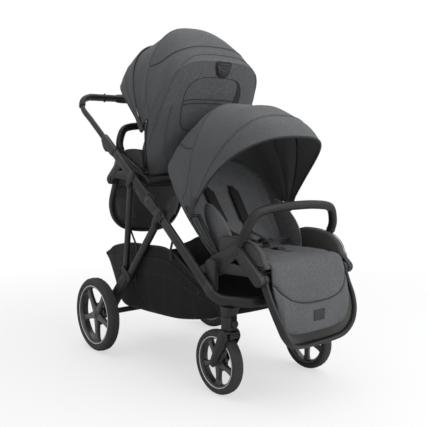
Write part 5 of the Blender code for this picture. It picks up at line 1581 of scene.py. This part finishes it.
def calf_face(u, v, deep=0.0):
    """The panel that rolls over the seat's front edge and hangs down inside the footrest bow."""
    side = 2 * u - 1
    y, z, half = station(ROLL, v)
    ya, za, _ = station(ROLL, max(0.0, v - 0.02))
    yb, zb, _ = station(ROLL, min(1.0, v + 0.02))
    ahead = Vector((0, yb - ya, zb - za)).normalized()
    out = Vector((0, ahead.z, -ahead.y))
    corner = 0.014 * max(0.0, (v - 0.9) / 0.1) * abs(side) ** 4
    drawn = 0.0075 * (1 - max(0.0, 1 - abs(side) ** 3.2) ** 0.5) + 0.006 * max(0.0, (v - 0.93) / 0.07) ** 2
    bulge = 0.0022 * cos(side * pi / 2) * sin(pi * min(1.0, v * 1.05))
    return Vector((side * half, y, z + corner)) + out * (bulge - drawn if deep == 0.0 else -deep
                                                         + drawn * 0.4)


GUARD = ((-0.002, 0.031), (-0.001, 0.056), (0.01, 0.079), (0.032, 0.098), (0.06, 0.111), (0.11, 0.1185),
         (0.16, 0.1195), (0.193, 0.115), (0.207, 0.098), (0.208, 0.066), (0.202, 0.034))
WING = ((0.176, 0.036), (0.171, 0.064), (0.176, 0.098), (0.192, 0.132), (0.222, 0.166), (0.262, 0.196),
        (0.31, 0.214), (0.318, 0.17), (0.288, 0.11), (0.268, 0.064), (0.25, 0.036))


def smooth_outline(points, per=5):
    """A smooth closed outline through side-view points."""
    ring = [Vector((0, *p)) for p in points]
    whole = smooth_path(ring[-2:] + ring + ring[:3], per)
    return [(p.y, p.z) for p in whole[2 * per:(2 + len(points)) * per]]


class STROLLER_OT_seat_cushions(bpy.types.Operator):
    """Builds each seat's cushion, side guards and calf panel, swollen by their filling and then sewn"""
    bl_idname = "stroller.seat_cushions"
    bl_label = "Seat Cushions"

    def execute(self, context):
        swell = context.scene.stroller_sizes.swell
        bm = bmesh.new()
        panel(bm, cushion_top, cushion_floor, 24, 34, (0.33, 0.24))
        seat_mesh = swollen(bm, swell * 0.5)
        channel = [[cushion_top(i / 40, 0.52) for i in range(1, 40)]]
        press(seat_mesh, channel, 0.003, 0.006)
        bm = bmesh.new()
        panel(bm, calf_face, lambda u, v: calf_face(u, v, CALF_FILL), 60, 44, (0.34, 0.28))
        calf_mesh = swollen(bm, swell * 0.45)
        u_seam = [(0.012, 0.42), (0.08, 0.5), (0.19, 0.565), (0.34, 0.597), (0.5, 0.602), (0.66, 0.597),
                  (0.81, 0.565), (0.92, 0.5), (0.988, 0.42)]
        sewn = [seam_path(u_seam, calf_face, 9)]
        hem = [[calf_face(0.04 + 0.92 * i / 60, 0.955) for i in range(61)]]
        press(calf_mesh, sewn, 0.0045, 0.006)
        press(calf_mesh, hem, 0.0018, 0.004)
        laid = settle(sewn, calf_mesh, 0.0006)
        rows = settle([seam_path([(a, b + 0.022) for a, b in u_seam[1:-1]], calf_face, 9)] + hem, calf_mesh,
                      0.0002)
        seat_rows = settle(channel, seat_mesh, 0.0002)
        for seat in SEATS:
            self.dress(seat, seat_mesh.copy(), calf_mesh.copy(), laid, rows, seat_rows)
        return {"FINISHED"}

    def dress(self, seat, seat_mesh, calf_mesh, laid, rows, seat_rows):
        name, body, place = seat["name"], seat["frame"], seat_place(seat)
        cushion = finish_piece(f"{name}_seat_cushion", seat_mesh, ["cushion"], body,
                               [f"{name}_seat_pad"], place, 60)
        stitch(f"{name}_cushion_stitches", seat_rows, body, place)
        fold = bend(seat, "footrest", (-0.02, 0.03), (-0.04, -0.034))
        calf = finish_piece(f"{name}_calf_panel", calf_mesh, ["cushion"], fold,
                            [f"{name}_calf_pad"], place, 60)
        piping(f"{name}_calf_piping", laid, fold, radius=0.002, place=place, slot="cushion")
        stitch(f"{name}_calf_stitches", rows, fold, place)
        edge = smooth_outline(GUARD)
        bm = bmesh.new()
        for sign in SIGNS:
            block(bm, edge, *span(sign, 0.1655, 0.1892), edge=0.0085)
        guards = finish_piece(f"{name}_side_guards", bm, ["lining"], body, place=place,
                              smooth=60)
        top = [p for p in edge if p[1] > 0.04]
        cords = [[Vector((sign * 0.1872, *p)) for p in top] for sign in SIGNS]
        piping(f"{name}_guard_piping", cords, body, "lining", 0.0013, place, "cushion")


class STROLLER_OT_seat_backs(bpy.types.Operator):
    """Builds each seat's cloth shell with its pocket and seams, the back cushion, and the recline handle"""
    bl_idname = "stroller.seat_backs"
    bl_label = "Seat Backs"

    def execute(self, context):
        bm = bmesh.new()
        panel(bm, pad_face, pad_rear, 34, 44, (0.36, 0.34))
        cushion = swollen(bm, context.scene.stroller_sizes.swell * 0.5)
        self.hold_inside(cushion)
        ribs = [[pad_face(u, v / 30) for v in range(4, 29)] for u in (0.2, 0.8)]
        press(cushion, ribs, 0.0035, 0.006)
        rib_rows = settle(ribs, cushion, 0.0002)
        for seat in SEATS:
            name, body, place = seat["name"], f"{seat['name']}_back", seat_place(seat, True)
            bm = bmesh.new()
            panel(bm, self.shell, self.inside, 56, 84, (0.62, 0.44))
            shell = finish_piece(f"{name}_back_cover", bm, ["canopy", "lining", "piping"], body,
                                 [f"{name}_back_shell"], place, 60)
            pad = finish_piece(f"{name}_back_cushion", cushion.copy(), ["back_pad"], body,
                               [f"{name}_back_pad"], place, 60)
            stitch(f"{name}_back_stitches", rib_rows, body, place)
            self.seams(name, body, place)
            self.wings(name, body, place)
            self.handle(name, body, place)
        return {"FINISHED"}

    def hold_inside(self, cushion, rows=56, columns=84, gap=0.0008, near=0.014):
        """Keeps the swollen cushion's back on the inner side of the shell's cloth."""
        spots = [self.inside(c / columns, r / rows) for r in range(rows + 1) for c in range(columns + 1)]
        across = columns + 1
        quads = [(i, i + across, i + across + 1, i + 1)
                 for i in range(rows * across) if i % across < columns]
        tree = BVHTree.FromPolygons(spots, quads)
        for vert in cushion.vertices:
            spot, normal, face, reach = tree.find_nearest(vert.co)
            outward = normal if normal.dot(self.out((face % columns + 0.5) / columns,
                                                    (face // columns + 0.5) / rows)) > 0 else -normal
            if reach < near and (vert.co - spot).dot(outward) > -gap:
                vert.co = spot - outward * gap

    def out(self, u, v):
        """Outward direction of the shell."""
        step = 0.01
        across = back_surface(min(1, u + step), v) - back_surface(max(0, u - step), v)
        up = back_surface(u, min(1, v + step)) - back_surface(u, max(0, v - step))
        return up.cross(across).normalized() * (1 if up.cross(across).y > 0 else -1)

    def shell(self, u, v):
        """The shell's cloth, which wrinkles a little towards the hips and bags over the pocket."""
        across = 2 * u - 1
        loose = 0.0016 * sin(11 * across + 17 * v) * (1 - v) * (1 - across ** 4)
        pocket = max(0.0, 1 - ((across - 0.02) / 0.36) ** 4) * max(0.0, sin(pi * min(1.0, v / 0.86)))
        return back_surface(u, v, 0.0006) + self.out(u, v) * (loose + 0.0022 * pocket)

    def inside(self, u, v):
        return self.shell(u, v) - self.out(u, v) * CLOTH_THICK

    def lifted(self, rise):
        """The surface that lies this far outside the shell, of across from -1 to 1 and v."""
        return lambda across, v: self.shell(across / 2 + 0.5, v) + self.out(across / 2 + 0.5, v) * rise

    def seams(self, name, body, place):
        over = self.lifted(0.0007)
        curve = [(0.415, 0.998), (0.52, 0.98), (0.63, 0.925), (0.73, 0.855), (0.8, 0.775), (0.86, 0.68),
                 (0.91, 0.56)]
        arch_seam = [(0.345, 0.79), (0.33, 0.835), (0.26, 0.878), (0.12, 0.902), (-0.03, 0.904),
                     (-0.13, 0.89), (-0.195, 0.85), (-0.22, 0.79)]
        pocket = [(0.345, 0.79), (0.36, 0.72), (0.35, 0.63), (0.27, 0.575), (0.0, 0.56), (-0.16, 0.575),
                  (-0.23, 0.63), (-0.235, 0.72), (-0.22, 0.79)]
        outer = [(0.5, 0.8), (0.55, 0.68), (0.56, 0.5), (0.52, 0.26), (0.48, 0.05)]
        mouth = [(0.335, 0.798), (0.2, 0.796), (0.07, 0.793), (-0.08, 0.792), (-0.2, 0.792)]
        soft = [seam_path(curve, over), seam_path([(-a, b) for a, b in curve], over),
                seam_path(outer, over), seam_path([(-a, b) for a, b in outer], over)]
        piping(f"{name}_back_seams", soft, body, "canopy", 0.0014, place)
        piping(f"{name}_back_piping", [seam_path(arch_seam, over), seam_path(pocket, over)], body,
               radius=0.001, place=place)
        self.paint_pocket_shade(name, body, place)
        bm = bmesh.new()
        for drop in (0.0, 0.022):
            tube(bm, seam_path([(a, b - drop) for a, b in mouth], over), 0.002, 0.003, sides=12,
                 across=(0, 0.7, 0.7), power=3.0, edge=0.0006)
        hem = [over(-0.98 + 1.96 * i / 60, 0.006) for i in range(61)]
        tube(bm, hem, 0.005, 0.007, sides=10, across=(0, 1, 0), power=2.6)
        for sign in SIGNS:
            tube(bm, [over(sign * 0.985, 0.01 + 0.97 * i / 30) for i in range(31)], 0.005, 0.006, sides=10)
        finish_piece(f"{name}_back_bindings", bm, ["piping"], body, place=place, smooth=60)
        beside = [seam_path([(a - 0.022, b - 0.016) for a, b in curve], over),
                  seam_path([(0.022 - a, b - 0.016) for a, b in curve], over),
                  seam_path([(a * 0.93 + 0.004, mix(b, 0.7, 0.06)) for a, b in pocket], over),
                  seam_path([(a + 0.022, b) for a, b in outer], over),
                  seam_path([(-a - 0.022, b) for a, b in outer], over)]
        stitch(f"{name}_back_topstitch", beside, body, place)

    def paint_pocket_shade(self, name, body, place):
        """A black sheet as painted shade in the gap down the far side of the pocket's arch, widest at its
        foot.
        """
        gap = [(-0.03, 0.904, 0.002), (-0.13, 0.89, 0.026), (-0.195, 0.85, 0.062), (-0.22, 0.79, 0.09),
               (-0.235, 0.72, 0.09)]
        inner, outer = [(a + wide, b) for a, b, wide in gap], [(a, b) for a, b, wide in gap]
        bm = bmesh.new()
        above, below = self.lifted(0.0009), self.lifted(-0.0008)
        # The sheet is painted shade: it lies on the shell where the pocket's mouth is dark only from the
        # shade inside.
        skin(bm, list(zip(seam_path(inner, above), seam_path(outer, above),
                          seam_path(outer, below), seam_path(inner, below))))
        bmesh.ops.recalc_face_normals(bm, faces=bm.faces)
        finish_piece(f"{name}_pocket_painted_shade", bm, ["piping"], body, place=place, smooth=60)

    def wings(self, name, body, place):
        """Padded side wings between the back cushion and the seat's side guards."""
        edge = smooth_outline(WING)
        bm = bmesh.new()
        for sign in SIGNS:
            block(bm, edge, *span(sign, 0.1525, 0.164), edge=0.005)
        wings = finish_piece(f"{name}_back_wings", bm, ["back_pad"], body, place=place,
                             smooth=60)
        rim = [p for p in edge if p[0] < 0.3 and p[1] > 0.06 and p[0] < 0.2 + 0.6 * (p[1] - 0.04)]
        cords = [[Vector((sign * 0.1545, *p)) for p in rim] for sign in SIGNS]
        piping(f"{name}_wing_piping", cords, body, "back_pad", 0.0014, place, "cushion")

    def handle(self, name, body, place):
        """A squeeze handle with its finger bar, in a moulded surround on the back's outside."""
        at = back_surface(0.5, 0.95)
        up = (back_surface(0.5, 1.0) - back_surface(0.5, 0.88)).normalized()
        out = Vector((0, up.z, -up.y))
        basis = Matrix((Vector((1, 0, 0)), up, out)).transposed().to_4x4()
        place = place @ Matrix.Translation(at) @ basis
        bm = bmesh.new()
        edge = smooth_outline([(-0.0335, 0.026), (-0.032, -0.004), (-0.022, -0.024), (0, -0.031),
                               (0.022, -0.024), (0.032, -0.004), (0.0335, 0.026), (0, 0.028)], 6)
        block(bm, edge, 0.0002, 0.0026, 0.001, "Z")
        finish_piece(f"{name}_recline_surround", bm, ["piping"], body, place=place)
        bm = bmesh.new()
        lever = smooth_outline([(-0.0285, 0.016), (-0.027, -0.004), (-0.019, -0.018), (0, -0.0235),
                                (0.019, -0.018), (0.027, -0.004), (0.0285, 0.016), (0, 0.018)], 6)
        block(bm, lever, 0.003, 0.0068, 0.0018, "Z")
        block(bm, rounded_box(-0.024, 0.0135, 0.024, 0.0215, 0.003), 0.0034, 0.0084, 0.0016, "Z")
        block(bm, rounded_box(-0.01, -0.014, 0.01, 0.0, 0.004), 0.0062, 0.008, 0.0009, "Z")
        block(bm, rounded_box(-0.006, 0.0035, 0.006, 0.0075, 0.0015), 0.0062, 0.0076, 0.0005, "Z", finish=1)
        own_piece(f"{name}_recline_handle", bm, ["moulding", "ring"], f"{name}_recline_handle",
                  place)


class STROLLER_OT_canopies(bpy.types.Operator):
    """Builds each canopy: the hood over the back, the sliding visor, their bows, seams and bindings"""
    bl_idname = "stroller.canopies"
    bl_label = "Canopies"

    def execute(self, context):
        for seat in SEATS:
            name, place = seat["name"], seat_place(seat, True)
            back, front = f"{name}_back", f"{name}_canopy"
            bm = bmesh.new()
            panel(bm, lambda u, v: hood_cloth(2 * u - 1, mix(HOOD_REAR - 0.7, HOOD_FRONT, v)), lambda u,
                  v: hood_cloth(2 * u - 1, mix(HOOD_REAR - 0.7, HOOD_FRONT, v), CLOTH_THICK), 48, 96,
                  (0.98, 0.45))
            self.net(bm)
            hood = own_piece(f"{name}_canopy_hood", bm, ["canopy", "lining", "piping", "net"], back,
                             place, 60)
            bm = bmesh.new()
            panel(bm, lambda u, v: visor_cloth(u, v, VISOR_GROW + CLOTH_THICK),
                  lambda u, v: visor_cloth(u, v, VISOR_GROW), 20, 96, (0.98, 0.2))
            visor = own_piece(f"{name}_canopy_visor", bm, ["canopy", "lining", "piping"], front,
                              place, 60)
            self.ears(name, front, place)
            self.seams(name, back, front, place)
        return {"FINISHED"}

    def net(self, bm):
        """Gives the ventilation windows inside the hood their net."""
        cloth = bm.loops.layers.uv["cloth"]
        for face in bm.faces:
            if face.material_index == 1:
                u, v = face.loops[0][cloth].uv
                if 0.1 < abs(u / 0.98 - 0.5) < 0.4 and 0.42 < v / 0.45 < 0.9:
                    face.material_index = 3

    def ears(self, name, body, place):
        tip = side_point(CANOPY_AXIS, radians(114.5), 0.06)
        bm = bmesh.new()
        for sign in SIGNS:
            block(bm, capsule(CANOPY_AXIS, tip, 0.0125, 0.0095), *span(sign, 0.23, 0.2337), edge=0.0012)
            block(bm, circle(*CANOPY_AXIS, 0.0105), *span(sign, 0.233, 0.2362), edge=0.0014)
        finish_piece(f"{name}_canopy_ears", bm, ["moulding"], body, place=place)

    def seams(self, name, back, front, place):
        def hood(across, degrees):
            return hood_cloth(across, degrees, -0.0008)

        def visor(across, degrees):
            v = (degrees - HOOD_FRONT + VISOR_LAP) / (lip_degrees(across) - HOOD_FRONT + VISOR_LAP)
            return visor_cloth(across / 2 + 0.5, v, VISOR_GROW + CLOTH_THICK + 0.0006)

        dome = both_ways([(0.0, 54.0), (0.14, 54.1), (0.28, 54.9), (0.41, 57.4), (0.51, 61.6),
                          (0.575, 67.0), (0.61, 73.0), (0.635, 79.5)])
        bow = both_ways([(0.0, 82.5), (0.2, 82.5), (0.4, 82.5), (0.56, 82.2), (0.68, 81.0), (0.77, 78.5),
                         (0.85, 72.0), (0.92, 60.0), (0.965, 45.0)])
        collar = both_ways([(0.0, 47.4), (0.12, 47.2), (0.22, 46.4), (0.32, 44.8), (0.405, 42.2)])
        piping(f"{name}_hood_piping", [seam_path(dome, hood)], back, radius=0.0012, place=place)
        piping(f"{name}_hood_seams", [seam_path(bow, hood), seam_path(collar, hood)], back, "canopy",
               0.0014, place)
        arc = both_ways([(0.0, 82.0), (0.2, 82.0), (0.4, 81.8), (0.56, 81.2)])
        beside = [seam_path([(a, b + shift) for a, b in line], hood)
                  for line, shift in ((arc, -1.3), (arc, 1.3), (dome[1:-1], -1.2))]
        stitch(f"{name}_hood_stitches", beside, back, place)
        line = both_ways([(0.0, 119.6), (0.24, 119.6), (0.48, 119.2), (0.68, 118.4), (0.84, 117.4),
                          (0.97, 116.4)])
        beside = [seam_path([(a, b + shift) for a, b in line], visor) for shift in (0.9, -0.9)]
        stitch(f"{name}_visor_stitches", beside, front, place)
        piping(f"{name}_visor_seam", [seam_path(line, visor)], front, "canopy", 0.0012, place)
        bm = bmesh.new()
        lip = [visor_cloth(0.004 + 0.992 * i / 96, 1.0, VISOR_GROW + CLOTH_THICK / 2) for i in range(97)]
        tube(bm, lip, 0.0062, 0.0075, sides=10, across=(0, 0, 1), power=2.4)
        for end in (0.003, 0.997):
            side = [visor_cloth(end, 0.02 + 0.96 * i / 12, VISOR_GROW + CLOTH_THICK / 2) for i in range(13)]
            tube(bm, side, 0.0058, 0.0058, sides=8, power=2.0)
        finish_piece(f"{name}_visor_binding", bm, ["piping"], front, place=place, smooth=60)
        bm = bmesh.new()
        for end in (0.003, 0.997):
            side = [hood_cloth(2 * end - 1, mix(HOOD_REAR, HOOD_FRONT, 0.01 + 0.98 * i / 40), 0.0015)
                    for i in range(41)]
            tube(bm, side, 0.0058, 0.0058, sides=8, power=2.0)
        front_edge = [hood_cloth(-0.99 + 1.98 * i / 96, HOOD_FRONT, CLOTH_THICK / 2) for i in range(97)]
        tube(bm, front_edge, 0.0044, 0.006, sides=8, across=(0, 0, 1), power=2.0)
        finish_piece(f"{name}_hood_binding", bm, ["piping"], back, place=place, smooth=60)


class STROLLER_OT_harnesses(bpy.types.Operator):
    """Builds each harness: shoulder, hip and crotch straps, shoulder pads, adjusters and the buckle"""
    bl_idname = "stroller.harnesses"
    bl_label = "Harnesses"

    def execute(self, context):
        for seat in SEATS:
            self.straps(seat)
            self.buckle(seat)
        return {"FINISHED"}

    def straps(self, seat):
        name, place = seat["name"], seat_place(seat)
        turn = place.inverted() @ seat_place(seat, True)

        def on_pad(x, v, lift=0.012):
            half = station(BACK_STATIONS, v)[0] - SHELL_THICK
            across = copysign(2 / pi * asin((abs(x) / half) ** (back_power(v) / 2)), x)
            u, share = (across / PAD_SHARE + 1) / 2, (v - 1 + PAD_SHARE) / PAD_SHARE
            rise = (pad_face(u, share + 0.06) - pad_face(u, share - 0.06)).normalized()
            return turn @ (pad_face(u, share) + Vector((0, -rise.z, rise.y)) * lift)

        bm = bmesh.new()
        for sign in SIGNS:
            web = [on_pad(sign * 0.058, 0.84, 0.002), on_pad(sign * 0.058, 0.8), on_pad(sign * 0.056, 0.66),
                   on_pad(sign * 0.052, 0.52), on_pad(sign * 0.046, 0.4),
                   BUCKLE + Vector((sign * 0.032, 0.026, 0.013)),
                   BUCKLE + Vector((sign * 0.012, 0.004, 0.008))]
            tube(bm, smooth_path(web), 0.025, 0.0022, sides=16, power=5.0, edge=0.0006)
            hip = [Vector((sign * 0.146, BUCKLE.y + 0.032, BUCKLE.z + 0.008)),
                   Vector((sign * 0.09, BUCKLE.y + 0.016, BUCKLE.z + 0.008)),
                   BUCKLE + Vector((sign * 0.014, 0.001, 0.008))]
            tube(bm, smooth_path(hip), 0.0022, 0.025, sides=16, across=(0, 0, 1), power=5.0, edge=0.0006)
        crotch = [Vector((0, 0.17, 0.0585)), Vector((0, 0.18, 0.066)), Vector((0, 0.188, BUCKLE.z + 0.006))]
        tube(bm, smooth_path(crotch), 0.03, 0.004, sides=16, power=5.0, edge=0.0008)
        front = [Vector((0, y, cushion_top(0.5, (y - 0.012) / 0.232).z + 0.0045))
                 for y in (0.165, 0.13, 0.095, 0.06)]
        tube(bm, smooth_path(front), 0.025, 0.0022, sides=16, power=5.0, edge=0.0006)
        fold = bend(seat, "back", (0.206, 0.075), (0.262, 0.12))
        own_piece(f"{name}_harness", bm, ["webbing"], fold, place, 60)
        bm = bmesh.new()
        for sign in SIGNS:
            soft = smooth_path([on_pad(sign * 0.058, 0.8, 0.0135), on_pad(sign * 0.057, 0.72, 0.0145),
                                on_pad(sign * 0.055, 0.62, 0.0145), on_pad(sign * 0.052, 0.52, 0.0135)])
            tube(bm, soft, 0.04, 0.0115, power=3.0, edge=0.004)
        pads = finish_piece(f"{name}_shoulder_pads", bm, ["webbing"], fold, place=place,
                            smooth=60)

    def buckle(self, seat):
        name, place = seat["name"], seat_place(seat)
        middle, low = BUCKLE.y - 0.01, BUCKLE.z + 0.0095
        bm = bmesh.new()
        oval = [(0.026 * cos(a), middle + 0.024 * sin(a)) for a in
                (2 * pi * i / 48 for i in range(48))]
        well = circle(0, middle, 0.013, 48)
        rings = ((oval, 0.0015, 0.0), (oval, 0.0, 0.0015), (oval, 0.0, 0.008), (oval, 0.003, 0.01),
                 (well, -0.0008, 0.01), (well, 0.0, 0.0092), (well, 0.0, 0.0056))
        skin(bm, [[Vector((x, y, low + rise)) for x, y in outline_inset(outline, inset)]
                  for outline, inset, rise in rings])
        for sign in SIGNS:
            block(bm, rounded_box(sign * 0.034 - 0.01, middle + 0.006, sign * 0.034 + 0.01, middle + 0.03,
                                  0.004), low, low + 0.0065, 0.0015, "Z")
        block(bm, rounded_box(-0.017, 0.108, 0.017, 0.134, 0.004), 0.064, 0.07, 0.0018, "Z")
        block(bm, rounded_box(-0.012, 0.116, 0.012, 0.121, 0.002), 0.069, 0.0716, 0.0008, "Z")
        own_piece(f"{name}_buckle", bm, ["moulding"], seat["frame"], place)
        bm = bmesh.new()
        block(bm, circle(0, middle, 0.012), low + 0.0078, low + 0.012, 0.0014, "Z")
        own_piece(f"{name}_buckle_button", bm, ["rim"], f"{name}_buckle_button", place)


class STROLLER_OT_bumpers(bpy.types.Operator):
    """Builds the bumper bars: a leatherette sleeve with its sewn seam, and moulded ends"""
    bl_idname = "stroller.bumpers"
    bl_label = "Bumper Bars"

    def execute(self, context):
        base = side_point(SOCKET, SOCKET_LEAN, 0.0, 0.0203)
        x = ARM_INSIDE + ARM_THICK / 2
        half = [Vector((-x, *base)), Vector((-x, *side_point(base, SOCKET_LEAN, 0.0, 0.03))),
                Vector((-x + 0.005, 0.061, 0.15)), Vector((-x + 0.025, 0.05, 0.189)),
                Vector((-0.146, 0.043, 0.206)), Vector((-0.075, 0.041, 0.214)), Vector((0, 0.042, 0.215))]
        path = smooth_bow(half)
        for seat in SEATS:
            name, body, place = seat["name"], f"{seat['name']}_bumper", seat_place(seat)
            bm = bmesh.new()
            tube(bm, path[5:-5], 0.029, 0.029, sides=28, power=2.0, edge=0.003)
            for sign in SIGNS:
                end = [Vector((p.x * -sign, p.y, p.z)) for p in path[:7]]
                tube(bm, end, 0.0215, 0.027, power=2.4, edge=0.002, finish=1)
                tube(bm, [mix(end[5], end[6], t) for t in (-0.9, 0.4, 1.0)], 0.0305, 0.0305, power=2.0,
                     finish=1)
            own_piece(f"{name}_bumper_bar", bm, ["leatherette", "moulding"], body, place, 50)
            under = [p + Vector((0, 0.01, -0.01)) for p in path[8:-8]]
            stitch(f"{name}_bumper_stitches", [under], body, place)
        return {"FINISHED"}


class STROLLER_OT_footrests(bpy.types.Operator):
    """Builds the footrest bows with their hinge caps, the cloth stretched inside and the rubber patch"""
    bl_idname = "stroller.footrests"
    bl_label = "Footrests"

    def execute(self, context):
        x = ARM_INSIDE - 0.0003 - 0.008
        half = [Vector((-x, -0.004, -0.012)), Vector((-x, -0.018, -0.045)),
                Vector((-x + 0.003, -0.042, -0.09)), Vector((-0.169, -0.058, -0.132)),
                Vector((-0.15, -0.063, -0.172)), Vector((-0.115, -0.058, -0.203)),
                Vector((-0.06, -0.044, -0.217)), Vector((0, -0.036, -0.221))]
        path = smooth_bow(half)
        left = smooth_path(half)
        for seat in SEATS:
            name, body, place = seat["name"], f"{seat['name']}_footrest", seat_place(seat)
            bm = bmesh.new()
            tube(bm, path, 0.016, 0.028, sides=28, power=2.4, edge=0.002)
            for sign in SIGNS:
                block(bm, circle(0, 0, 0.018), *span(sign, x - 0.008, ARM_INSIDE - 0.0003), edge=0.0022)
            own_piece(f"{name}_footrest_bow", bm, ["frame"], body, place, 50)
            self.backing(name, body, place, left)
            self.patch(name, place)
        return {"FINISHED"}

    def backing(self, name, body, place, left):
        """Black cloth stretched across the bow behind the calf panel."""
        rows = [p for p in left if p.z < -0.034]

        def spread(u, v, back):
            spot = min(len(rows) - 1.001, v * (len(rows) - 1))
            p = mix(rows[int(spot)], rows[int(spot) + 1], spot % 1)
            behind = max(p.y + 0.004, station(ROLL, max(0.0, min(1.0, (-p.z + 0.06) / 0.26)))[0] + 0.021)
            y = mix(behind, p.y - 0.0009, abs(2 * u - 1) ** 3 if v < 0.8 else mix(abs(2 * u - 1) ** 3, 1.0,
                                                                                  5 * v - 4))
            dip = 0.004 * sin(pi * u) * sin(pi * v)
            return Vector(((2 * u - 1) * (abs(p.x) - 0.003), y + back + dip, min(p.z + 0.003, -0.03)))

        bm = bmesh.new()
        panel(bm, lambda u, v: spread(u, v, 0.0), lambda u, v: spread(u, v, 0.0018), 30, 24, (0.33, 0.2))
        sheet = finish_piece(f"{name}_footrest_cloth", bm, ["lining", "lining", "piping"], body,
                             place=place, smooth=60)

    def patch(self, name, place):
        """A plain rubber patch sewn on the middle of the calf panel."""
        def proud(lift):
            return lambda u, v: calf_face(mix(0.425, 0.575, u), mix(0.68, 0.782, v)) - Vector((0, lift, 0))

        bm = bmesh.new()
        panel(bm, proud(0.0062), proud(0.001), 6, 6, (0.034, 0.034))
        bmesh.ops.bevel(bm, geom=[e for e in bm.edges if e.is_manifold and e.calc_face_angle(0) > 0.6],
                        offset=0.0008, segments=2, affect="EDGES")
        finish_piece(f"{name}_calf_patch", bm, ["patch"], f"{name}_footrest", place=place)


def dress_cad_nodes():
    """Gives each CAD node that still shows the material of its finish."""
    kinds = {"frame": "frame", "plastic": "moulding", "rim": "rim", "tyre": "tyre", "cover": "canopy",
             "cushion": "cushion", "webbing": "webbing", "basket": "basket", "grip": "leatherette"}
    for part in frame["record"]["subparts"]:
        node = frame["nodes"][part["node"]]
        for spot in node.material_slots:
            spot.material = FINISHES[kinds[part["material_slot"]]]


# Add-on

STEPS = (STROLLER_OT_stage, STROLLER_OT_side_frame, STROLLER_OT_wheels, STROLLER_OT_casters,
         STROLLER_OT_handle, STROLLER_OT_basket, STROLLER_OT_seat_frames, STROLLER_OT_seat_cushions,
         STROLLER_OT_seat_backs, STROLLER_OT_canopies, STROLLER_OT_harnesses, STROLLER_OT_bumpers,
         STROLLER_OT_footrests)


class STROLLER_PT_sidebar(bpy.types.Panel):
    """Lists the stroller's steps, sizes and colours"""
    bl_idname = "STROLLER_PT_sidebar"
    bl_label = "Double Stroller"
    bl_space_type = "VIEW_3D"
    bl_region_type = "UI"
    bl_category = "Stroller"

    def draw(self, context):
        for step in STEPS:
            self.layout.operator(step.bl_idname)
        for group in (context.scene.stroller_sizes, context.scene.stroller_colours):
            column = self.layout.column()
            for key in group.__annotations__:
                column.prop(group, key)


CLASSES = (StrollerColours, StrollerSizes, *STEPS, STROLLER_PT_sidebar)


def register():
    for kind in CLASSES:
        bpy.utils.register_class(kind)
    bpy.types.Scene.stroller_colours = bpy.props.PointerProperty(type=StrollerColours)
    bpy.types.Scene.stroller_sizes = bpy.props.PointerProperty(type=StrollerSizes)


def unregister():
    del bpy.types.Scene.stroller_sizes
    del bpy.types.Scene.stroller_colours
    for kind in reversed(CLASSES):
        bpy.utils.unregister_class(kind)


def main():
    register()
    make_finishes(bpy.context.scene.stroller_colours)
    for step in STEPS:
        group, name = step.bl_idname.split(".")
        getattr(getattr(bpy.ops, group), name)()
    dress_cad_nodes()


if __name__ == "__main__":
    main()
